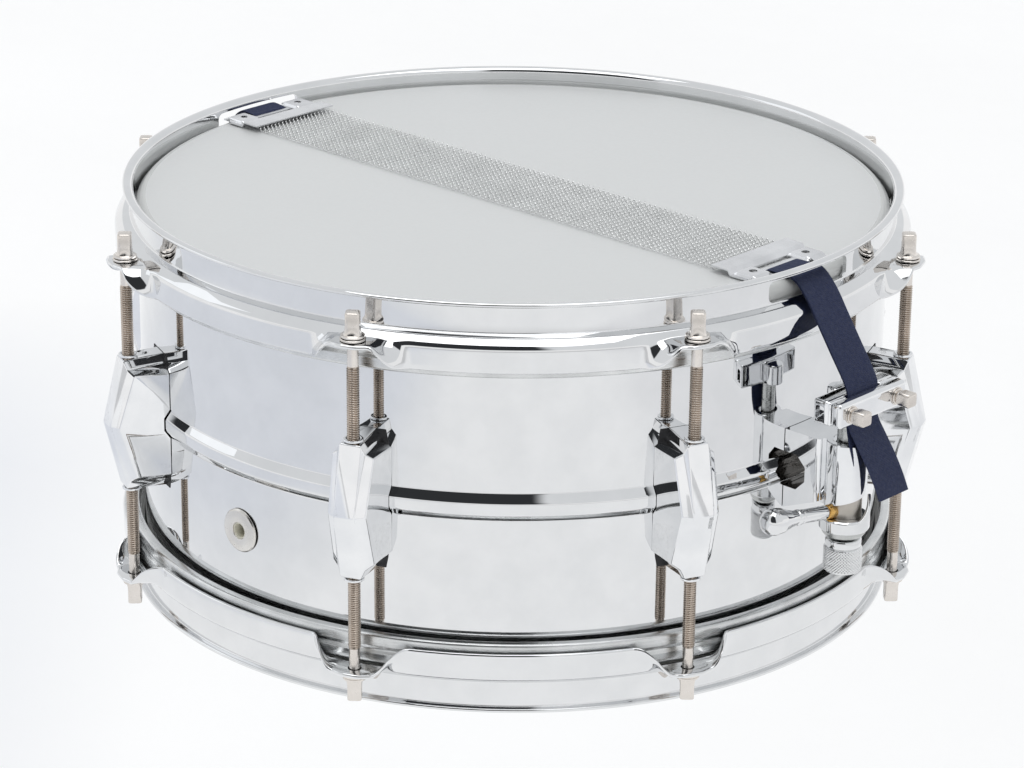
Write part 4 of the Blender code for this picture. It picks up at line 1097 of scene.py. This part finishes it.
def build_clamps():
    """The strainer's moving clamp, the butt end's fixed one, and the screws of both."""
    boss = fillet([(0.0, 139.0), (5.5, 139.0), (5.5, 129.4), (0.0, 129.4)], (1.4, 0.5), 6)
    boss = turned(boss, 64, closed=False)
    bridge = block((198.0, -4.9, 129.5), (204.0, 4.9, 138.4), 0.8, 3)
    back = combined(clamp_block_mesh(), [moved(boss, (198.0, 0, 0)), bridge], "UNION")
    back = faceted(bevelled(combined(back, clamp_cuts()), 0.2, 2, 60))
    place("strainer_clamp_back", back, CAST_CHROME_PAINTED_BRIGHTER, "clamp", smooth=30, node="strainer_clamp_block")
    place("strainer_clamp_front", clamp_plate_mesh(), CAST_CHROME_PAINTED_BRIGHTER, "clamp", node="strainer_clamp_plate")
    foot = block((LUG_BACK - 6.0, -13.0, 110.0), (204.0, 13.0, 139.5), 2.4, 5)
    seat = bar((0, 0, 100), (0, 0, 150), SEAT_RADIUS, 720, 0.002)
    butt = combined(combined(foot, [clamp_block_mesh()], "UNION"), clamp_cuts() + [seat])
    place("butt_housing", mirrored(faceted(bevelled(butt, 0.25, 2, 60))), CAST_CHROME_PAINTED_BRIGHTER, "drum", smooth=30,
          node="butt_base")
    place("butt_clamp_front", mirrored(clamp_plate_mesh()), CAST_CHROME_PAINTED_BRIGHTER, "drum", node="butt_clamp_plate")
    for owner, turn in (("strainer", 0.0), ("butt", math.pi)):
        screw, washer = moved(clamp_screw_mesh(), turn=turn), moved(clamp_washer_mesh(), turn=turn)
        for letter, y in (("a", -SCREW_Y), ("b", SCREW_Y)):
            body = f"{owner}_clamp_screw_{letter}"
            place(f"{owner}_key_screw_{letter}", screw, NICKEL, body, (0, y, 0), node=body)
            place(f"{owner}_key_washer_{letter}", washer, NICKEL, body, (0, y, 0))


# ---------------------------------------------------------------- snares

STRANDS = 20
STRAND_PITCH = 2.45
COIL_PITCH = 3.2
COIL_RADIUS = 0.80
COIL_WIRE = 0.25
COIL_SEGMENTS = 12
COIL_SIDES = 5


def coil_points(y):
    """One coiled strand along X as a tube of rings; every strand turns in step with the others."""
    start, end = -150.0, 144.6
    steps = int((end - start) / COIL_PITCH * COIL_SEGMENTS)
    x = start + (end - start) * np.arange(steps + 1) / steps
    turn = TAU * (x - start) / COIL_PITCH
    centre_z = HEAD_TOP + 0.3 + COIL_RADIUS + COIL_WIRE
    radial = np.stack([np.zeros_like(turn), np.cos(turn), np.sin(turn)], 1)
    spine = np.stack([x, np.full_like(x, y), np.full_like(x, centre_z)], 1) + COIL_RADIUS * radial
    tangent = units(np.stack([np.full_like(x, COIL_PITCH / TAU), -COIL_RADIUS * np.sin(turn),
                              COIL_RADIUS * np.cos(turn)], 1))
    side = np.cross(tangent, radial)
    rings = [spine + COIL_WIRE * (math.cos(a) * radial + math.sin(a) * side)
             for a in TAU * np.arange(COIL_SIDES) / COIL_SIDES]
    return np.stack(rings, 1)


def build_strands():
    """The strands as two pieces of ten, so that neither mesh is too heavy."""
    for half, letter in ((0, "a"), (1, "b")):
        points, faces = [], []
        for k in range(half * STRANDS // 2, (half + 1) * STRANDS // 2):
            rings = coil_points((k - (STRANDS - 1) / 2) * STRAND_PITCH)
            faces += tube_faces(len(rings), COIL_SIDES, len(points) * COIL_SIDES)
            points += list(rings)
        place(f"snare_wires_{letter}", mesh_from(np.concatenate(points), faces), WIRE, "drum", smooth=80,
              node=None if half else "snare_strands")


def plate_height(x, y):
    """Middle height of the end plate's sheet over the head; x runs outwards from the strip's inner edge."""
    strip, floor, pad = 3.15, 1.15, 2.7

    def part(distance, length):
        return min(1.0, max(0.0, distance / length))

    height = strip + (floor - strip) * eased((x - 9.2) / 2.0)
    rise = part(abs(y) - 12.6, 1.4) * part(x - 11.0, 2.2) * part(24.6 - abs(y), 1.0)
    rise *= 1 - part(x - 21.5, 3.2) ** 2
    return height + (pad - height) * eased(rise)


def end_plate_mesh():
    """Stamped plate drawn outwards along +X: a strip over the wires, a slot, and an ear at each side."""
    xs = np.concatenate([np.linspace(*span) for span in ((0, 9.2, 5), (9.6, 13.6, 11), (14.2, 21.4, 10),
                                                         (21.8, 26.0, 11))])
    half = np.concatenate([np.linspace(*span) for span in ((12.4, 14.2, 8), (14.6, 22.8, 12), (23.4, 24.5, 6),
                                                           (24.8, 26, 4))])
    ys = np.concatenate([-half[::-1], np.linspace(-11.8, 11.8, 17), half])
    rows = np.array([[(x, y, plate_height(x, y)) for y in ys] for x in xs])
    sheet = mesh_from(rows.reshape(-1, 3), grid_faces(len(xs), len(ys)))
    sheet = baked(sheet, ("SOLIDIFY", {"thickness": 0.7 * MM, "offset": 0.0, "use_even_offset": True}))
    windows = [((18.2, 22.4), (-11.3, 11.3), 0.6), ((12.0, 15.6), (-12.2, 12.2), 0.5),
               ((20.6, 30), (-30, -24.4), 1.0), ((20.6, 30), (24.4, 30), 1.0),
               ((23.6, 30), (-15.0, -11.6), 0.8), ((23.6, 30), (11.6, 15.0), 0.8)]
    cuts = [block((x[0], y[0], -3), (x[1], y[1], 8), corner, 3, along=2) for x, y, corner in windows]
    cuts += [bar((17.6, y, -3), (17.6, y, 8), 1.9, 28, 0.05) for y in (-18.2, 18.2)]
    return faceted(combined(sheet, cuts), 40)


def build_end_plates():
    for owner, turn, inner in (("strainer", 0.0, 144.0), ("butt", math.pi, -149.0)):
        mesh = moved(end_plate_mesh(), (inner, 0, HEAD_TOP), turn)
        place(f"{owner}_stamped_end_plate", mesh, PLATE, "drum", smooth=40, node=f"{owner}_end_plate")


STRAP_HALF = 10.5
RIB = 0.8                          # from one rib of the ribbon to the next
RIB_HEIGHT = 0.14


def strip_line(route):
    """A smooth middle line through (x, y, z) points, sampled at even steps a quarter of a rib long."""
    route = np.array(route, float)
    chord = np.concatenate([[0], np.cumsum(np.sqrt(np.linalg.norm(np.diff(route, axis=0), axis=1)))])
    tangent = np.gradient(route, chord, axis=0)
    fine = []
    for k in range(len(route) - 1):
        span = chord[k + 1] - chord[k]
        for part in np.linspace(0, 1, 24, endpoint=False):
            a = 2 * part ** 3 - 3 * part ** 2 + 1
            b = part ** 3 - 2 * part ** 2 + part
            c = -2 * part ** 3 + 3 * part ** 2
            d = part ** 3 - part ** 2
            fine.append(a * route[k] + b * span * tangent[k] + c * route[k + 1] + d * span * tangent[k + 1])
    fine = np.array(fine + [route[-1]])
    length = np.concatenate([[0], np.cumsum(np.linalg.norm(np.diff(fine, axis=0), axis=1))])
    count = int(length[-1] / (RIB / 4))
    even = np.linspace(0, length[-1], count + 1)
    return np.stack([np.interp(even, length, fine[:, k]) for k in range(3)], 1), length[-1]


def ribbon_mesh(line, thickness=0.42):
    """A grosgrain ribbon about a line: ribs across its width and bound edges."""
    step = units(np.gradient(line, axis=0))
    flat = units(np.stack([step[:, 0], np.zeros(len(step)), step[:, 2]], 1))
    normal = np.stack([-flat[:, 2], np.zeros(len(flat)), flat[:, 0]], 1)
    across = np.cross(flat, normal)
    edge = STRAP_HALF
    stations = [-edge, -edge + 0.25, -edge + 0.8, -edge + 1.0] + list(np.linspace(-edge + 2.4, edge - 2.4, 7))
    stations += [edge - 1.0, edge - 0.8, edge - 0.25, edge]
    rows = []
    for k, spot in enumerate(line):
        rib = RIB_HEIGHT * (0.5 + 0.5 * math.cos(TAU * k / 4))
        top, bottom = [], []
        for y in stations:
            rim = abs(y) > edge - 0.9
            lift = thickness / 2 + (0.03 if rim else rib)
            if abs(y) == edge:
                lift = thickness / 4
            top.append(spot + across[k] * y + normal[k] * lift)
            bottom.append(spot + across[k] * y - normal[k] * lift)
        rows.append(top + bottom[::-1])
    return stacked(rows)


def strap_route(near, tail_front, tail_back):
    """One ribbon from its front tail up through the clamp, over the hoop, round the plate's bar and back.

    Each point is (x, z); near is the bar's inner edge.  Only the tails, (x, z, y), lean to the side."""
    over = [(210.85, 140.6), (209.2, 144.8), (200.0, 158.5), (191.1, 171.6), (188.9, 175.0), (184.6, 180.6),
            (179.4, 185.5), (175.6, 187.0), (171.0, 186.75)]
    bend = [(near + 2.0, 186.6), (near + 0.3, 186.4), (near - 0.4, 185.75), (near + 0.4, 185.2),
            (near + 2.0, 185.05)]
    under = [(171.4, 185.2), (174.6, 186.3), (179.1, 184.75), (184.1, 180.1), (188.4, 174.6), (190.6, 171.2),
             (199.5, 158.1), (208.75, 144.4), (210.25, 140.4)]
    return (tail_front[::-1] + [(210.85, 128.4, 0.3)] + [(x, z, 0.0) for x, z in over + bend + under]
            + [(210.25, 128.4, 0.3)] + tail_back)


def build_strap(name, node, body, side, near, tail_front, tail_back):
    line, length = strip_line([(side * x, y, z) for x, z, y in strap_route(near, tail_front, tail_back)])
    piece = place(name, ribbon_mesh(line), RIBBON, body, smooth=60, node=node)
    return piece


def build_straps():
    front = [(211.8, 124.0, 0.9), (214.2, 117.0, 3.2), (216.8, 106.0, 8.0), (218.6, 95.6, 12.2),
             (219.5, 88.0, 15.0)]
    back = [(210.4, 124.0, 0.9), (210.9, 117.0, 2.2), (211.6, 109.0, 4.4), (212.0, 101.2, 6.2)]
    strap = build_strap("strainer_ribbon", "strainer_strap", None, 1, 162.8, front, back)
    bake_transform(strap)
    front = [(211.4, 124.0, 0.6), (212.0, 118.0, 1.0), (212.8, 108.2, 1.5)]
    back = [(210.3, 124.0, 0.6), (210.5, 118.0, 1.0), (210.9, 112.0, 1.3)]
    build_strap("butt_ribbon", "butt_strap", "drum", -1, 167.8, front, back)


# ---------------------------------------------------------------- all together

bpy.context.scene.view_settings.view_transform = "Standard"
build_camera()
build_world()
build_lights()
build_floor()
build_shell()
build_vent()
for side_name, on_top, head_finish in (("batter", False, BATTER_FILM), ("snare_side", True, SNARE_FILM)):
    build_head(side_name, on_top, head_finish)
    build_flesh_hoop(side_name, on_top)
    build_counter_hoop(side_name, on_top)
build_lugs()
build_rods()
build_housing()
build_lever()
build_piston()
build_knob()
build_clamps()
build_strands()
build_end_plates()
build_straps()
for node in ("strainer_mount_screw_a", "strainer_mount_screw_b", "butt_mount_screw_a", "butt_mount_screw_b"):
    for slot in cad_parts[node].material_slots:
        slot.material = NICKEL[0]
